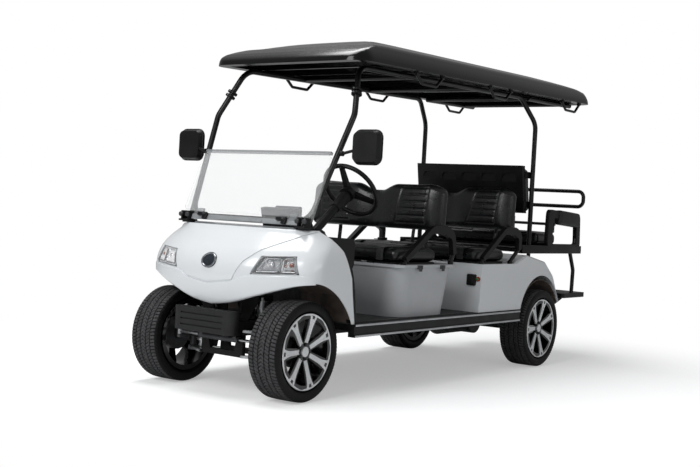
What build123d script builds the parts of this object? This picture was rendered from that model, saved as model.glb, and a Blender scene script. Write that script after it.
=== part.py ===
"""Six-seat electric golf cart: four wheels, white moulded front and rear bodies on a steel frame,
two forward benches, a rear-facing flip seat, a folding windscreen and a full-length roof.

Frame: +X forward, +Y to the vehicle's left, +Z up, origin on the ground under the middle of the
overall length. Millimetres throughout.
"""
from build123d import *
from math import atan2, cos, degrees, hypot, radians, sin
import os

os.makedirs("parts", exist_ok=True)

# ---------------------------------------------------------------- driving sizes
WHEELBASE = 2450.0
REAR_OVERHANG = 940.0
TYRE_RADIUS = 260.0
FRONT_AXLE_X = (WHEELBASE + REAR_OVERHANG - TYRE_RADIUS) / 2
REAR_AXLE_X = FRONT_AXLE_X - WHEELBASE

TYRE_WIDTH = 190.0
RIM_SEAT_RADIUS = 178.0
RIM_LIP_RADIUS = 197.0
RIM_WIDTH = 176.0
RIM_WALL = 7.0
SPOKE_COUNT = 7
HUB_BORE_RADIUS = 20.0
RUNNING_CLEARANCE = 0.3
SEAT_GAP = 0.5
FRONT_WHEEL_Y = 418.0
REAR_WHEEL_Y = 505.0

KINGPIN_Y = 290.0
KINGPIN_RADIUS = 11.0
STEERING_ARM = 110.0

FLOOR_TOP = 400.0
FLOOR_SHEET = 12.0
FLOOR_HALF_WIDTH = 548.0
SILL_WIDTH = 44.0
SILL_HEIGHT = 70.0
RAIL_HEIGHT = 80.0
RAIL_WIDTH = 50.0
FRONT_RAIL_Y = 120.0
MAIN_RAIL_Y = 300.0

BODY_HALF_WIDTH = 576.0
BODY_WALL = 6.0
HOOD_PANEL = 5.0
SEAT_DECK_Z = 700.0
CUSHION_HALF_WIDTH = 512.0
REAR_CUSHION_HALF_WIDTH = 425.0
STRUT_RADIUS = 16.0
HANDLE_RADIUS = 14.0
ROOF_EDGE_FRONT_Z = 1784.0
ROOF_EDGE_REAR_Z = 1856.0
ROOF_HALF_WIDTH = 538.0
ROOF_SKIN = 8.0


def fx(behind):
    """X of a station given by its distance behind the front axle."""
    return FRONT_AXLE_X - behind


def rx(behind):
    """X of a station given by its distance behind the rear axle."""
    return REAR_AXLE_X - behind


def save(part, name):
    """Labels a finished piece and writes its STEP file."""
    part.label = name
    export_step(part, f"parts/{name}.step")


def tube(points, radius, bend):
    """A round bar bent along straight runs joined by arcs."""
    with BuildPart() as bar:
        with BuildLine() as path:
            FilletPolyline(*points, radius=bend)
        with BuildSketch(Plane(origin=path.line @ 0, z_dir=path.line % 0)):
            Circle(radius)
        sweep()
    return bar.part


def rod(start, end, radius):
    """A straight round bar between two points."""
    run = Vector(*end) - Vector(*start)
    with BuildPart() as bar:
        with BuildSketch(Plane(origin=start, z_dir=run)):
            Circle(radius)
        extrude(amount=run.length)
    return bar.part


def across(outline, y_low, y_high):
    """A panel whose outline is drawn in side view as (x, z), reaching from one y to another."""
    with BuildPart() as panel:
        with BuildSketch(Plane.XZ.offset(-y_low)):
            with BuildLine():
                Polyline(*outline, close=True)
            make_face()
        extrude(amount=-(y_high - y_low))
    return panel.part


def lengthwise(outline, x_low, x_high):
    """A bar whose section is drawn in front view as (y, z), reaching from one x to another."""
    with BuildPart() as bar:
        with BuildSketch(Plane.YZ.offset(x_low)):
            with BuildLine():
                Polyline(*outline, close=True)
            make_face()
        extrude(amount=x_high - x_low)
    return bar.part


def both_sides(part):
    """A piece with its twin on the other side of the vehicle."""
    with BuildPart() as pair:
        add(part)
        mirror(part, about=Plane.XZ)
    return pair.part


# ---------------------------------------------------------------- wheels
LIP_DEPTH = 12.0
SPOKE_ROOT_WIDTH = 30.0
SPOKE_TIP_WIDTH = 62.0
SPOKE_DEPTH = 26.0
HUB_RADIUS = 50.0
HUB_DISH = 20.0
CAP_RADIUS = 24.0
HALF_RIM = RIM_WIDTH / 2


def make_rim(centre, outward):
    """Alloy rim: a barrel, tapered spokes in a dished face and a bored hub. outward is +1 or -1 in Y."""
    outer = HALF_RIM
    wheel_plane = Plane(origin=centre, x_dir=(1, 0, 0), z_dir=(0, outward, 0))
    half = Plane(origin=centre, x_dir=(1, 0, 0), z_dir=(0, 0, outward))
    spoke_back = outer - SPOKE_DEPTH - HUB_DISH
    with BuildPart() as face:
        with BuildSketch(half):
            with BuildLine():
                Polyline(
                    (HUB_BORE_RADIUS, spoke_back),
                    (HUB_BORE_RADIUS, outer - HUB_DISH),
                    (HUB_RADIUS, outer - HUB_DISH),
                    (RIM_SEAT_RADIUS - 2, outer - 3),
                    (RIM_SEAT_RADIUS - 2, outer - SPOKE_DEPTH),
                    close=True,
                )
            make_face()
        revolve(axis=Axis(centre, (0, 1, 0)))
        with BuildSketch(wheel_plane.offset(spoke_back - 5)):
            Circle(HUB_RADIUS)
            with PolarLocations(0, SPOKE_COUNT):
                Polygon(
                    (0, -SPOKE_ROOT_WIDTH / 2),
                    (RIM_SEAT_RADIUS, -SPOKE_TIP_WIDTH / 2),
                    (RIM_SEAT_RADIUS, SPOKE_TIP_WIDTH / 2),
                    (0, SPOKE_ROOT_WIDTH / 2),
                    align=None,
                )
        extrude(amount=SPOKE_DEPTH + HUB_DISH + 10, mode=Mode.INTERSECT)
        with BuildSketch(half):
            with BuildLine():
                Polyline(
                    (RIM_SEAT_RADIUS - RIM_WALL, -outer),
                    (RIM_LIP_RADIUS, -outer),
                    (RIM_LIP_RADIUS, -outer + LIP_DEPTH),
                    (RIM_SEAT_RADIUS, -outer + LIP_DEPTH),
                    (RIM_SEAT_RADIUS, outer - LIP_DEPTH),
                    (RIM_LIP_RADIUS, outer - LIP_DEPTH),
                    (RIM_LIP_RADIUS, outer),
                    (RIM_SEAT_RADIUS - RIM_WALL, outer),
                    close=True,
                )
            make_face()
        revolve(axis=Axis(centre, (0, 1, 0)))
        with BuildSketch(wheel_plane.offset(outer - HUB_DISH - 12)):
            Circle(CAP_RADIUS)
        extrude(amount=18)
        with BuildSketch(wheel_plane.offset(spoke_back - 22)):
            Circle(HUB_RADIUS)
            Circle(HUB_BORE_RADIUS, mode=Mode.SUBTRACT)
        extrude(amount=24)
    return face.part


def make_tyre(centre):
    """Low-profile tyre with a flat tread, rounded shoulders and bulged sidewalls."""
    half_tread = TYRE_WIDTH / 2 - 14
    seat = RIM_SEAT_RADIUS + RUNNING_CLEARANCE
    bead = HALF_RIM - LIP_DEPTH - RUNNING_CLEARANCE
    right = [
        (seat, bead),
        (RIM_LIP_RADIUS + 3, bead),
        (RIM_LIP_RADIUS + 14, TYRE_WIDTH / 2 - 3),
        (RIM_LIP_RADIUS + 30, TYRE_WIDTH / 2),
        (TYRE_RADIUS - 10, TYRE_WIDTH / 2 - 5),
        (TYRE_RADIUS, half_tread),
    ]
    left = [(r, -w) for r, w in reversed(right)]
    with BuildPart() as tyre:
        with BuildSketch(Plane(origin=centre, x_dir=(1, 0, 0), z_dir=(0, 0, 1))):
            with BuildLine():
                Polyline(*right, *left, close=True)
            make_face()
        revolve(axis=Axis(centre, (0, 1, 0)))
    return tyre.part


WHEELS = [  # name, centre x, centre y, outward
    ("front_left", FRONT_AXLE_X, FRONT_WHEEL_Y, 1),
    ("front_right", FRONT_AXLE_X, -FRONT_WHEEL_Y, -1),
    ("rear_left", REAR_AXLE_X, REAR_WHEEL_Y, 1),
    ("rear_right", REAR_AXLE_X, -REAR_WHEEL_Y, -1),
]
for place, wheel_x, wheel_y, outward in WHEELS:
    wheel_centre = (wheel_x, wheel_y, TYRE_RADIUS)
    save(make_rim(wheel_centre, outward), f"rim_{place}")
    save(make_tyre(wheel_centre), f"tyre_{place}")

# ---------------------------------------------------------------- chassis frame
RAIL_TOP = FLOOR_TOP - FLOOR_SHEET
RAIL_BOTTOM = RAIL_TOP - RAIL_HEIGHT
FRONT_RAIL_END = FRONT_AXLE_X + 200
FRONT_CROSS_X = fx(430)
CROSS_DEPTH = 48.0
ARM_Z_LOW = 192.0
ARM_SHEET = 14.0
ARM_Z_HIGH = 324.0 + RUNNING_CLEARANCE
ARM_INNER_Y = FRONT_RAIL_Y + RAIL_WIDTH / 2
TOWER_TOP = 520.0
SPRING_TOP_Y = 185.0
SPRING_FOOT_Y = 228.0
LEAF_Y = 345.0
LEAF_WIDTH = 40.0
LEAF_REACH = 350.0
LEAF_EYE_Z = 345.0
LEAF_PIN_RADIUS = 7.5
AXLE_TUBE_RADIUS = 32.0
REAR_LEG_RADIUS = 16.0
REAR_RAIL_END = rx(REAR_OVERHANG - 380)

rail_low, rail_high = MAIN_RAIL_Y - RAIL_WIDTH / 2, MAIN_RAIL_Y + RAIL_WIDTH / 2
CROSS_MEMBERS = [  # front x, half width
    (FRONT_CROSS_X, FLOOR_HALF_WIDTH),
    (fx(950), FLOOR_HALF_WIDTH),
    (fx(1400), FLOOR_HALF_WIDTH),
    (fx(1900), FLOOR_HALF_WIDTH),
    (REAR_RAIL_END + CROSS_DEPTH, rail_high),
]
with BuildPart() as chassis_frame:
    for side in (1, -1):
        with BuildSketch(Plane.XY.offset(RAIL_BOTTOM)):
            with Locations(((FRONT_CROSS_X + REAR_RAIL_END) / 2, side * MAIN_RAIL_Y)):
                Rectangle(FRONT_CROSS_X - REAR_RAIL_END, RAIL_WIDTH)
        extrude(amount=RAIL_HEIGHT)
    for cross_x, half_width in CROSS_MEMBERS:
        with BuildSketch(Plane.XY.offset(RAIL_TOP - 50)):
            with Locations((cross_x - CROSS_DEPTH / 2, 0)):
                Rectangle(CROSS_DEPTH, 2 * half_width)
        extrude(amount=50)
    # pins that carry the rear leaf springs
    for side in (1, -1):
        for pin_x in (REAR_AXLE_X + LEAF_REACH, REAR_AXLE_X - LEAF_REACH):
            with BuildSketch(Plane.XZ.offset(-side * rail_high)):
                with Locations((pin_x, LEAF_EYE_Z)):
                    Circle(LEAF_PIN_RADIUS)
            extrude(amount=-side * (LEAF_Y + LEAF_WIDTH + 4 - rail_high))
save(chassis_frame.part, "chassis_frame")

with BuildPart() as front_cradle:
    for side in (1, -1):
        with BuildSketch(Plane.XY.offset(RAIL_BOTTOM)):
            with Locations(((FRONT_RAIL_END + FRONT_CROSS_X) / 2, side * FRONT_RAIL_Y)):
                Rectangle(FRONT_RAIL_END - FRONT_CROSS_X, RAIL_WIDTH)
        extrude(amount=RAIL_HEIGHT)
    # cradle below the front rails and the spring towers above them
    for cradle_x in (FRONT_AXLE_X - 74, FRONT_AXLE_X + 74):
        with BuildSketch(Plane.YZ.offset(cradle_x - 12)):
            with BuildLine():
                Polyline(
                    (-ARM_INNER_Y, ARM_Z_LOW),
                    (ARM_INNER_Y, ARM_Z_LOW),
                    (ARM_INNER_Y, RAIL_BOTTOM),
                    (ARM_INNER_Y - 40, RAIL_BOTTOM),
                    (ARM_INNER_Y - 60, ARM_Z_LOW + 30),
                    (-ARM_INNER_Y + 60, ARM_Z_LOW + 30),
                    (-ARM_INNER_Y + 40, RAIL_BOTTOM),
                    (-ARM_INNER_Y, RAIL_BOTTOM),
                    close=True,
                )
            make_face()
        extrude(amount=24)
    for side in (1, -1):
        for gusset_x in (FRONT_AXLE_X - 58, FRONT_AXLE_X + 50):
            with BuildSketch(Plane.YZ.offset(gusset_x)):
                with BuildLine():
                    Polyline(
                        (side * (FRONT_RAIL_Y - 20), RAIL_TOP),
                        (side * ARM_INNER_Y, RAIL_TOP),
                        (side * (SPRING_TOP_Y + 30), TOWER_TOP - 25),
                        (side * (SPRING_TOP_Y + 30), TOWER_TOP),
                        (side * (FRONT_RAIL_Y - 20), TOWER_TOP),
                        close=True,
                    )
                make_face()
            extrude(amount=8)
        with BuildSketch(Plane.XY.offset(TOWER_TOP - 8)):
            with Locations((FRONT_AXLE_X, side * (SPRING_TOP_Y + FRONT_RAIL_Y + 10) / 2)):
                Rectangle(116, SPRING_TOP_Y + 50 - FRONT_RAIL_Y)
        extrude(amount=8)
save(front_cradle.part, "front_cradle")

# ---------------------------------------------------------------- front bumper
BUMPER_FRONT = 256.0
BUMPER_BACK = 200.0
BUMPER_HALF_WIDTH = 212.0
BUMPER_LOW = 322.0
BUMPER_HIGH = 445.0
BUMPER_RIB = 7.0
BUMPER_CORNER = 48.0
with BuildPart() as front_bumper:
    with BuildSketch(Plane.XY.offset(BUMPER_LOW)) as bumper_plan:
        with Locations((FRONT_AXLE_X + (BUMPER_BACK + BUMPER_FRONT) / 2, 0)):
            Rectangle(BUMPER_FRONT - BUMPER_BACK, 2 * BUMPER_HALF_WIDTH)
        fillet(bumper_plan.vertices().group_by(Axis.X)[-1], radius=BUMPER_CORNER)
    extrude(amount=BUMPER_HIGH - BUMPER_LOW)
    rib_pitch = (BUMPER_HIGH - BUMPER_LOW) / 4
    for groove in range(1, 4):
        with BuildSketch(Plane.XZ.offset(-BUMPER_HALF_WIDTH + 66)):
            with Locations((FRONT_AXLE_X + BUMPER_FRONT, BUMPER_LOW + groove * rib_pitch)):
                Rectangle(2 * BUMPER_RIB, BUMPER_RIB)
        extrude(amount=2 * (BUMPER_HALF_WIDTH - 66), mode=Mode.SUBTRACT)
save(front_bumper.part, "front_bumper")

# ---------------------------------------------------------------- front suspension, knuckles, steering
ARM_EYE_RADIUS = 26.0
with BuildPart() as front_arms:
    for z_low, reach in ((ARM_Z_LOW, 100.0), (ARM_Z_HIGH, 90.0)):
        for side in (1, -1):
            with BuildSketch(Plane.XY.offset(z_low)):
                with BuildLine():
                    Polyline(
                        (FRONT_AXLE_X - reach, side * ARM_INNER_Y),
                        (FRONT_AXLE_X - reach + 30, side * ARM_INNER_Y),
                        (FRONT_AXLE_X - 28, side * (KINGPIN_Y - ARM_EYE_RADIUS - 2)),
                        (FRONT_AXLE_X + 28, side * (KINGPIN_Y - ARM_EYE_RADIUS - 2)),
                        (FRONT_AXLE_X + reach - 30, side * ARM_INNER_Y),
                        (FRONT_AXLE_X + reach, side * ARM_INNER_Y),
                        (FRONT_AXLE_X + ARM_EYE_RADIUS, side * KINGPIN_Y),
                        (FRONT_AXLE_X - ARM_EYE_RADIUS, side * KINGPIN_Y),
                        close=True,
                    )
                make_face()
                with Locations((FRONT_AXLE_X, side * KINGPIN_Y)):
                    Circle(ARM_EYE_RADIUS)
                    Circle(KINGPIN_RADIUS + RUNNING_CLEARANCE, mode=Mode.SUBTRACT)
            extrude(amount=ARM_SHEET)
    for side in (1, -1):
        with BuildSketch(Plane.XY.offset(ARM_Z_LOW)):
            with Locations((FRONT_AXLE_X, side * SPRING_FOOT_Y)):
                Rectangle(136, 66)
        extrude(amount=ARM_SHEET)
save(front_arms.part, "front_arms")

COIL_RADIUS = 34.0
COIL_WIRE = 5.0
COIL_TURNS = 7
spring_foot = Vector(FRONT_AXLE_X, SPRING_FOOT_Y - 4, ARM_Z_LOW + ARM_SHEET + 3.4)
spring_top = Vector(FRONT_AXLE_X, SPRING_TOP_Y, TOWER_TOP - 8 - 2.6)
spring_run = spring_top - spring_foot
spring_plane = Plane(origin=spring_foot, x_dir=(1, 0, 0), z_dir=(spring_run.cross(Vector(1, 0, 0))).normalized())
coil_start, coil_end = 40.0, spring_run.length - 20
coil_pitch = (coil_end - coil_start) / COIL_TURNS
coil_profile = [(0, 0), (20, 0), (20, coil_start - 6), (COIL_RADIUS, coil_start - 6), (COIL_RADIUS, coil_start)]
for turn in range(COIL_TURNS):
    low = coil_start + turn * coil_pitch
    coil_profile += [(COIL_RADIUS, low + 4), (26, low + 4), (26, low + coil_pitch - 6), (COIL_RADIUS, low + coil_pitch - 6)]
coil_profile += [(COIL_RADIUS, coil_end + 2), (14, coil_end + 2), (14, spring_run.length), (0, spring_run.length)]
with BuildPart() as coil_over:
    with BuildSketch(Plane(origin=spring_foot, x_dir=(1, 0, 0), z_dir=spring_run.cross(Vector(1, 0, 0)))) as coil_sketch:
        with BuildLine():
            Polyline(*[(radius, -along) for radius, along in coil_profile], close=True)
        make_face()
    revolve(axis=Axis(spring_foot, spring_run))
save(both_sides(coil_over.part), "front_coil_overs")

HUB_CARRIER_RADIUS = 46.0
STUB_RADIUS = HUB_BORE_RADIUS - RUNNING_CLEARANCE
SHAFT_INSET = RIM_WIDTH / 2 - HUB_DISH - 12 - 1
BOSS_BACK = RIM_WIDTH / 2 - SPOKE_DEPTH - HUB_DISH - 22
TIE_ROD_Z = 288.0
TIE_ROD_RADIUS = 8.0
for name, side in (("left", 1), ("right", -1)):
    with BuildPart() as knuckle:
        with BuildSketch(Plane.XY.offset(ARM_Z_LOW + ARM_SHEET + RUNNING_CLEARANCE)):
            with Locations((FRONT_AXLE_X, side * KINGPIN_Y)):
                Circle(18)
        extrude(amount=ARM_Z_HIGH - ARM_Z_LOW - ARM_SHEET - 2 * RUNNING_CLEARANCE)
        with BuildSketch(Plane.XY.offset(ARM_Z_LOW)):
            with Locations((FRONT_AXLE_X, side * KINGPIN_Y)):
                Circle(KINGPIN_RADIUS)
        extrude(amount=ARM_Z_HIGH + ARM_SHEET - ARM_Z_LOW)
        with BuildSketch(Plane.XZ.offset(-side * KINGPIN_Y)):
            with Locations((FRONT_AXLE_X, TYRE_RADIUS)):
                Circle(HUB_CARRIER_RADIUS - 12)
        extrude(amount=-side * (FRONT_WHEEL_Y + BOSS_BACK - 30 - KINGPIN_Y))
        with BuildSketch(Plane.XZ.offset(-side * (FRONT_WHEEL_Y + BOSS_BACK - 32))):
            with Locations((FRONT_AXLE_X, TYRE_RADIUS)):
                Circle(HUB_CARRIER_RADIUS + 44)
        extrude(amount=-side * (32 - RUNNING_CLEARANCE))
        with BuildSketch(Plane.XZ.offset(-side * KINGPIN_Y)):
            with Locations((FRONT_AXLE_X, TYRE_RADIUS)):
                Circle(STUB_RADIUS)
        extrude(amount=-side * (FRONT_WHEEL_Y + SHAFT_INSET - KINGPIN_Y))
        with BuildSketch(Plane.XY.offset(TIE_ROD_Z - 32)):
            with BuildLine():
                Polyline(
                    (FRONT_AXLE_X, side * (KINGPIN_Y - 16)),
                    (FRONT_AXLE_X + STEERING_ARM, side * (KINGPIN_Y - 13)),
                    (FRONT_AXLE_X + STEERING_ARM, side * (KINGPIN_Y + 13)),
                    (FRONT_AXLE_X, side * (KINGPIN_Y + 16)),
                    close=True,
                )
            make_face()
            with Locations((FRONT_AXLE_X + STEERING_ARM, side * KINGPIN_Y)):
                Circle(13)
        extrude(amount=16)
    save(knuckle.part, f"knuckle_{name}")

RACK_RADIUS = 17.0
RACK_HALF_LENGTH = 140.0
with BuildPart() as tie_rods:
    with BuildSketch(Plane.XZ.offset(KINGPIN_Y)):
        with Locations((FRONT_AXLE_X + STEERING_ARM, TIE_ROD_Z)):
            Circle(TIE_ROD_RADIUS)
    extrude(amount=-2 * KINGPIN_Y)
    for side in (1, -1):
        with BuildSketch(Plane.XY.offset(TIE_ROD_Z - 13)):
            with Locations((FRONT_AXLE_X + STEERING_ARM, side * KINGPIN_Y)):
                Circle(14)
        extrude(amount=26)
save(tie_rods.part, "tie_rods")

with BuildPart() as steering_rack:
    with BuildSketch(Plane.XZ.offset(RACK_HALF_LENGTH)):
        with Locations((FRONT_AXLE_X + STEERING_ARM, TIE_ROD_Z)):
            Circle(RACK_RADIUS)
    extrude(amount=-2 * RACK_HALF_LENGTH)
    for side in (1, -1):
        with BuildSketch(Plane.XY.offset(TIE_ROD_Z)):
            with Locations((FRONT_AXLE_X + STEERING_ARM, side * FRONT_RAIL_Y)):
                Rectangle(34, 24)
        extrude(amount=RAIL_BOTTOM - TIE_ROD_Z)
    with BuildSketch(Plane.XZ.offset(RACK_HALF_LENGTH)):
        with Locations((FRONT_AXLE_X + STEERING_ARM, TIE_ROD_Z)):
            Circle(TIE_ROD_RADIUS + RUNNING_CLEARANCE)
    extrude(amount=-2 * RACK_HALF_LENGTH, mode=Mode.SUBTRACT)
save(steering_rack.part, "steering_rack")

# ---------------------------------------------------------------- rear axle, motor, leaf springs
DRUM_RADIUS = 105.0
DRUM_WIDTH = 70.0
DIFF_RADIUS = 88.0
DIFF_HALF_WIDTH = 80.0
with BuildPart() as rear_axle:
    hub_end = REAR_WHEEL_Y + BOSS_BACK - RUNNING_CLEARANCE
    with BuildSketch(Plane.XZ.offset(hub_end - 5)):
        with Locations((REAR_AXLE_X, TYRE_RADIUS)):
            Circle(AXLE_TUBE_RADIUS)
    extrude(amount=-2 * (hub_end - 5))
    with BuildSketch(Plane.XZ.offset(REAR_WHEEL_Y + SHAFT_INSET)):
        with Locations((REAR_AXLE_X, TYRE_RADIUS)):
            Circle(STUB_RADIUS)
    extrude(amount=-2 * (REAR_WHEEL_Y + SHAFT_INSET))
    for side in (1, -1):
        with BuildSketch(Plane.XZ.offset(-side * hub_end)):
            with Locations((REAR_AXLE_X, TYRE_RADIUS)):
                Circle(DRUM_RADIUS)
        extrude(amount=side * DRUM_WIDTH)
    with BuildSketch(Plane.XZ.offset(DIFF_HALF_WIDTH)):
        with Locations((REAR_AXLE_X, TYRE_RADIUS)):
            Circle(DIFF_RADIUS)
    extrude(amount=-2 * DIFF_HALF_WIDTH)
save(rear_axle.part, "rear_axle")

MOTOR_RADIUS = 82.0
MOTOR_LENGTH = 290.0
with BuildPart() as motor:
    with BuildSketch(Plane.YZ.offset(REAR_AXLE_X)):
        with Locations((0, TYRE_RADIUS)):
            Circle(MOTOR_RADIUS)
    extrude(amount=DIFF_RADIUS + MOTOR_LENGTH)
    with BuildSketch(Plane.XZ.offset(DIFF_HALF_WIDTH + 20)):
        with Locations((REAR_AXLE_X, TYRE_RADIUS)):
            Circle(DIFF_RADIUS)
    extrude(amount=-2 * DIFF_HALF_WIDTH - 40, mode=Mode.SUBTRACT)
save(motor.part, "drive_motor")

LEAF_SHEET = 8.0
LEAF_TABLE = [  # half length, drop below the main leaf
    (LEAF_REACH - 60, 1),
    (LEAF_REACH - 150, 2),
]
leaf_seat = TYRE_RADIUS + AXLE_TUBE_RADIUS
leaf_bow = LEAF_EYE_Z - leaf_seat - (len(LEAF_TABLE) + 0.5) * LEAF_SHEET


def leaf_z(distance):
    """Height of the main leaf's lower face at a distance from the axle."""
    return leaf_seat + len(LEAF_TABLE) * LEAF_SHEET + leaf_bow * (distance / LEAF_REACH) ** 2


with BuildPart() as rear_spring:
    with BuildSketch(Plane.XZ.offset(-LEAF_Y)):
        for reach, level in [(LEAF_REACH, 0)] + LEAF_TABLE:
            end_z = leaf_z(reach) - level * LEAF_SHEET
            mid_z = leaf_z(0) - level * LEAF_SHEET
            with BuildLine():
                low = ThreePointArc((rx(-reach), end_z), (rx(0), mid_z), (rx(reach), end_z))
                top = ThreePointArc(
                    (rx(reach), end_z + LEAF_SHEET), (rx(0), mid_z + LEAF_SHEET), (rx(-reach), end_z + LEAF_SHEET)
                )
                Line(low @ 1, top @ 0)
                Line(top @ 1, low @ 0)
            make_face()
        with Locations((rx(-LEAF_REACH), LEAF_EYE_Z), (rx(LEAF_REACH), LEAF_EYE_Z)):
            Circle(LEAF_PIN_RADIUS + 8)
            Circle(LEAF_PIN_RADIUS + RUNNING_CLEARANCE, mode=Mode.SUBTRACT)
    extrude(amount=-LEAF_WIDTH)
save(both_sides(rear_spring.part), "rear_springs")

# ---------------------------------------------------------------- floor, sills, battery
TOE_FOOT_X = fx(312)
TOE_KNEE_X = fx(262)
TOE_KNEE_Z = 620.0
FLOOR_END_X = fx(1640)
with BuildPart() as floor:
    add(
        across(
            [
                (FLOOR_END_X, RAIL_TOP),
                (TOE_FOOT_X, RAIL_TOP),
                (TOE_KNEE_X, TOE_KNEE_Z),
                (TOE_KNEE_X - 5, TOE_KNEE_Z),
                (TOE_FOOT_X - FLOOR_SHEET, FLOOR_TOP),
                (FLOOR_END_X, FLOOR_TOP),
            ],
            -FLOOR_HALF_WIDTH,
            FLOOR_HALF_WIDTH,
        )
    )
save(floor.part, "floor")

SILL_TOP = FLOOR_TOP - 5
SILL_FRONT_X = fx(285)
SILL_END_X = fx(2145)
SILL_LIP = 12.0
with BuildPart() as sill:
    add(
        lengthwise(
            [
                (FLOOR_HALF_WIDTH, SILL_TOP),
                (FLOOR_HALF_WIDTH + SILL_WIDTH, SILL_TOP),
                (FLOOR_HALF_WIDTH + SILL_WIDTH, SILL_TOP - SILL_LIP),
                (FLOOR_HALF_WIDTH + SILL_WIDTH - 5, SILL_TOP - SILL_LIP - 4),
                (FLOOR_HALF_WIDTH + SILL_WIDTH - 5, SILL_TOP - SILL_HEIGHT + SILL_LIP + 4),
                (FLOOR_HALF_WIDTH + SILL_WIDTH, SILL_TOP - SILL_HEIGHT + SILL_LIP),
                (FLOOR_HALF_WIDTH + SILL_WIDTH, SILL_TOP - SILL_HEIGHT),
                (FLOOR_HALF_WIDTH, SILL_TOP - SILL_HEIGHT),
            ],
            SILL_END_X,
            SILL_FRONT_X,
        )
    )
save(both_sides(sill.part), "sills")

BATTERY_HEIGHT = 250.0
with BuildPart() as battery:
    for row in range(2):
        for column in range(3):
            with BuildSketch(Plane.XY.offset(FLOOR_TOP)):
                with Locations((fx(930 + row * 205), -275 + column * 275)):
                    Rectangle(190, 262)
            extrude(amount=BATTERY_HEIGHT)
save(battery.part, "battery_pack")

# ---------------------------------------------------------------- front body
FRONT_SLICES = [  # z, nose ahead of the axle, half width, corner radius
    (350.0, 135.0, 576.0, 120.0),
    (500.0, 193.0, 576.0, 120.0),
    (610.0, 221.0, 576.0, 120.0),
    (715.0, 205.0, 572.0, 130.0),
    (805.0, 130.0, 545.0, 150.0),
    (876.0, 60.0, 480.0, 170.0),
]
NOSE_RADIUS = 1030.0
COWL_BACK_X = fx(360)


def body_form(inset):
    """The front moulding's solid form with every wall moved in by inset."""
    with BuildPart() as form:
        for z, nose, half_width, corner in FRONT_SLICES:
            level = z - inset if z == FRONT_SLICES[-1][0] else z
            tip = FRONT_AXLE_X + nose - inset
            wide = half_width - inset
            with BuildSketch(Plane.XY.offset(level)) as outline:
                with BuildLine():
                    drop = NOSE_RADIUS - (NOSE_RADIUS**2 - wide**2) ** 0.5
                    front = ThreePointArc((tip - drop, -wide), (tip, 0), (tip - drop, wide))
                    Polyline(front @ 1, (COWL_BACK_X, wide), (COWL_BACK_X, -wide), front @ 0)
                make_face()
                fillet(outline.vertices().group_by(Axis.X)[-1], radius=corner)
        loft()
    return form.part


outer_form = body_form(0)
inner_form = body_form(BODY_WALL)
CHIN = [(0, 467), (145, 499), (268, 534), (445, 584), (520, 612), (700, 612)]  # y, z of the lower edge
COWL_EDGE = [(100, 900), (100, 868), (195, 774), (257, 635), (306, 340)]  # behind the axle, z
ARCH_FRONT_X = FRONT_AXLE_X + 130
ARCH_TOP = 612.0
LAMP_OUTLINE = [(258, 641), (500, 653), (468, 744), (297, 736)]  # y, z of a headlamp's corners
LAMP_DEPTH = 60.0
TONGUE = [(0, 585), (100, 600), (155, 606), (180, 655), (210, 704), (280, 767), (390, 826), (470, 871)]  # y, z

with BuildPart() as front_body:
    add(outer_form)
    add(inner_form, mode=Mode.SUBTRACT)
    # open underside and open back
    with BuildSketch(Plane.XY.offset(FRONT_SLICES[0][0] - 1)):
        with Locations((FRONT_AXLE_X, 0)):
            Rectangle(1200, 1400)
    extrude(amount=SILL_TOP - FRONT_SLICES[0][0] + 1, mode=Mode.SUBTRACT)
    with BuildSketch(Plane.XZ.offset(700)):
        with BuildLine():
            Polyline(*[(fx(behind), z) for behind, z in COWL_EDGE], (fx(500), 340), (fx(500), 900), close=True)
        make_face()
    extrude(amount=-1400, mode=Mode.SUBTRACT)
    # chin line across the nose
    with BuildSketch(Plane.YZ.offset(FRONT_AXLE_X + 90)):
        with BuildLine():
            Polyline(*CHIN, (700, 300), (-700, 300), *[(-y, z) for y, z in reversed(CHIN[1:])], close=True)
        make_face()
    extrude(amount=300, mode=Mode.SUBTRACT)
    # wheel arches
    with BuildSketch(Plane.XZ.offset(700)):
        with BuildLine():
            arch = ThreePointArc((ARCH_FRONT_X, ARCH_TOP), (fx(90), 578), (fx(284), 380))
            Polyline(arch @ 1, (fx(284), 300), (ARCH_FRONT_X, 300), arch @ 0)
        make_face()
    extrude(amount=-1400, mode=Mode.SUBTRACT)
    for side in (1, -1):
        with BuildSketch(Plane.YZ.offset(FRONT_AXLE_X - 40)):
            with BuildLine():
                Polyline(*[(side * y, z) for y, z in LAMP_OUTLINE], close=True)
            make_face()
            offset(amount=SEAT_GAP)
        extrude(amount=300, mode=Mode.SUBTRACT)
save(front_body.part, "front_body")

with BuildPart() as headlamp:
    with BuildSketch(Plane.YZ.offset(FRONT_AXLE_X - 40)):
        with BuildLine():
            Polyline(*LAMP_OUTLINE, close=True)
        make_face()
    extrude(amount=300)
    add(outer_form, mode=Mode.INTERSECT)
    add(body_form(LAMP_DEPTH), mode=Mode.SUBTRACT)
save(both_sides(headlamp.part), "headlamps")

with BuildPart() as hood_panel:
    with BuildSketch(Plane.YZ.offset(FRONT_AXLE_X - 80)):
        with BuildLine():
            Polyline(*TONGUE, *[(-y, z) for y, z in reversed(TONGUE[1:])], close=True)
        make_face()
    extrude(amount=400)
    add(body_form(-HOOD_PANEL), mode=Mode.INTERSECT)
    add(outer_form, mode=Mode.SUBTRACT)
save(hood_panel.part, "hood_panel")

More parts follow.
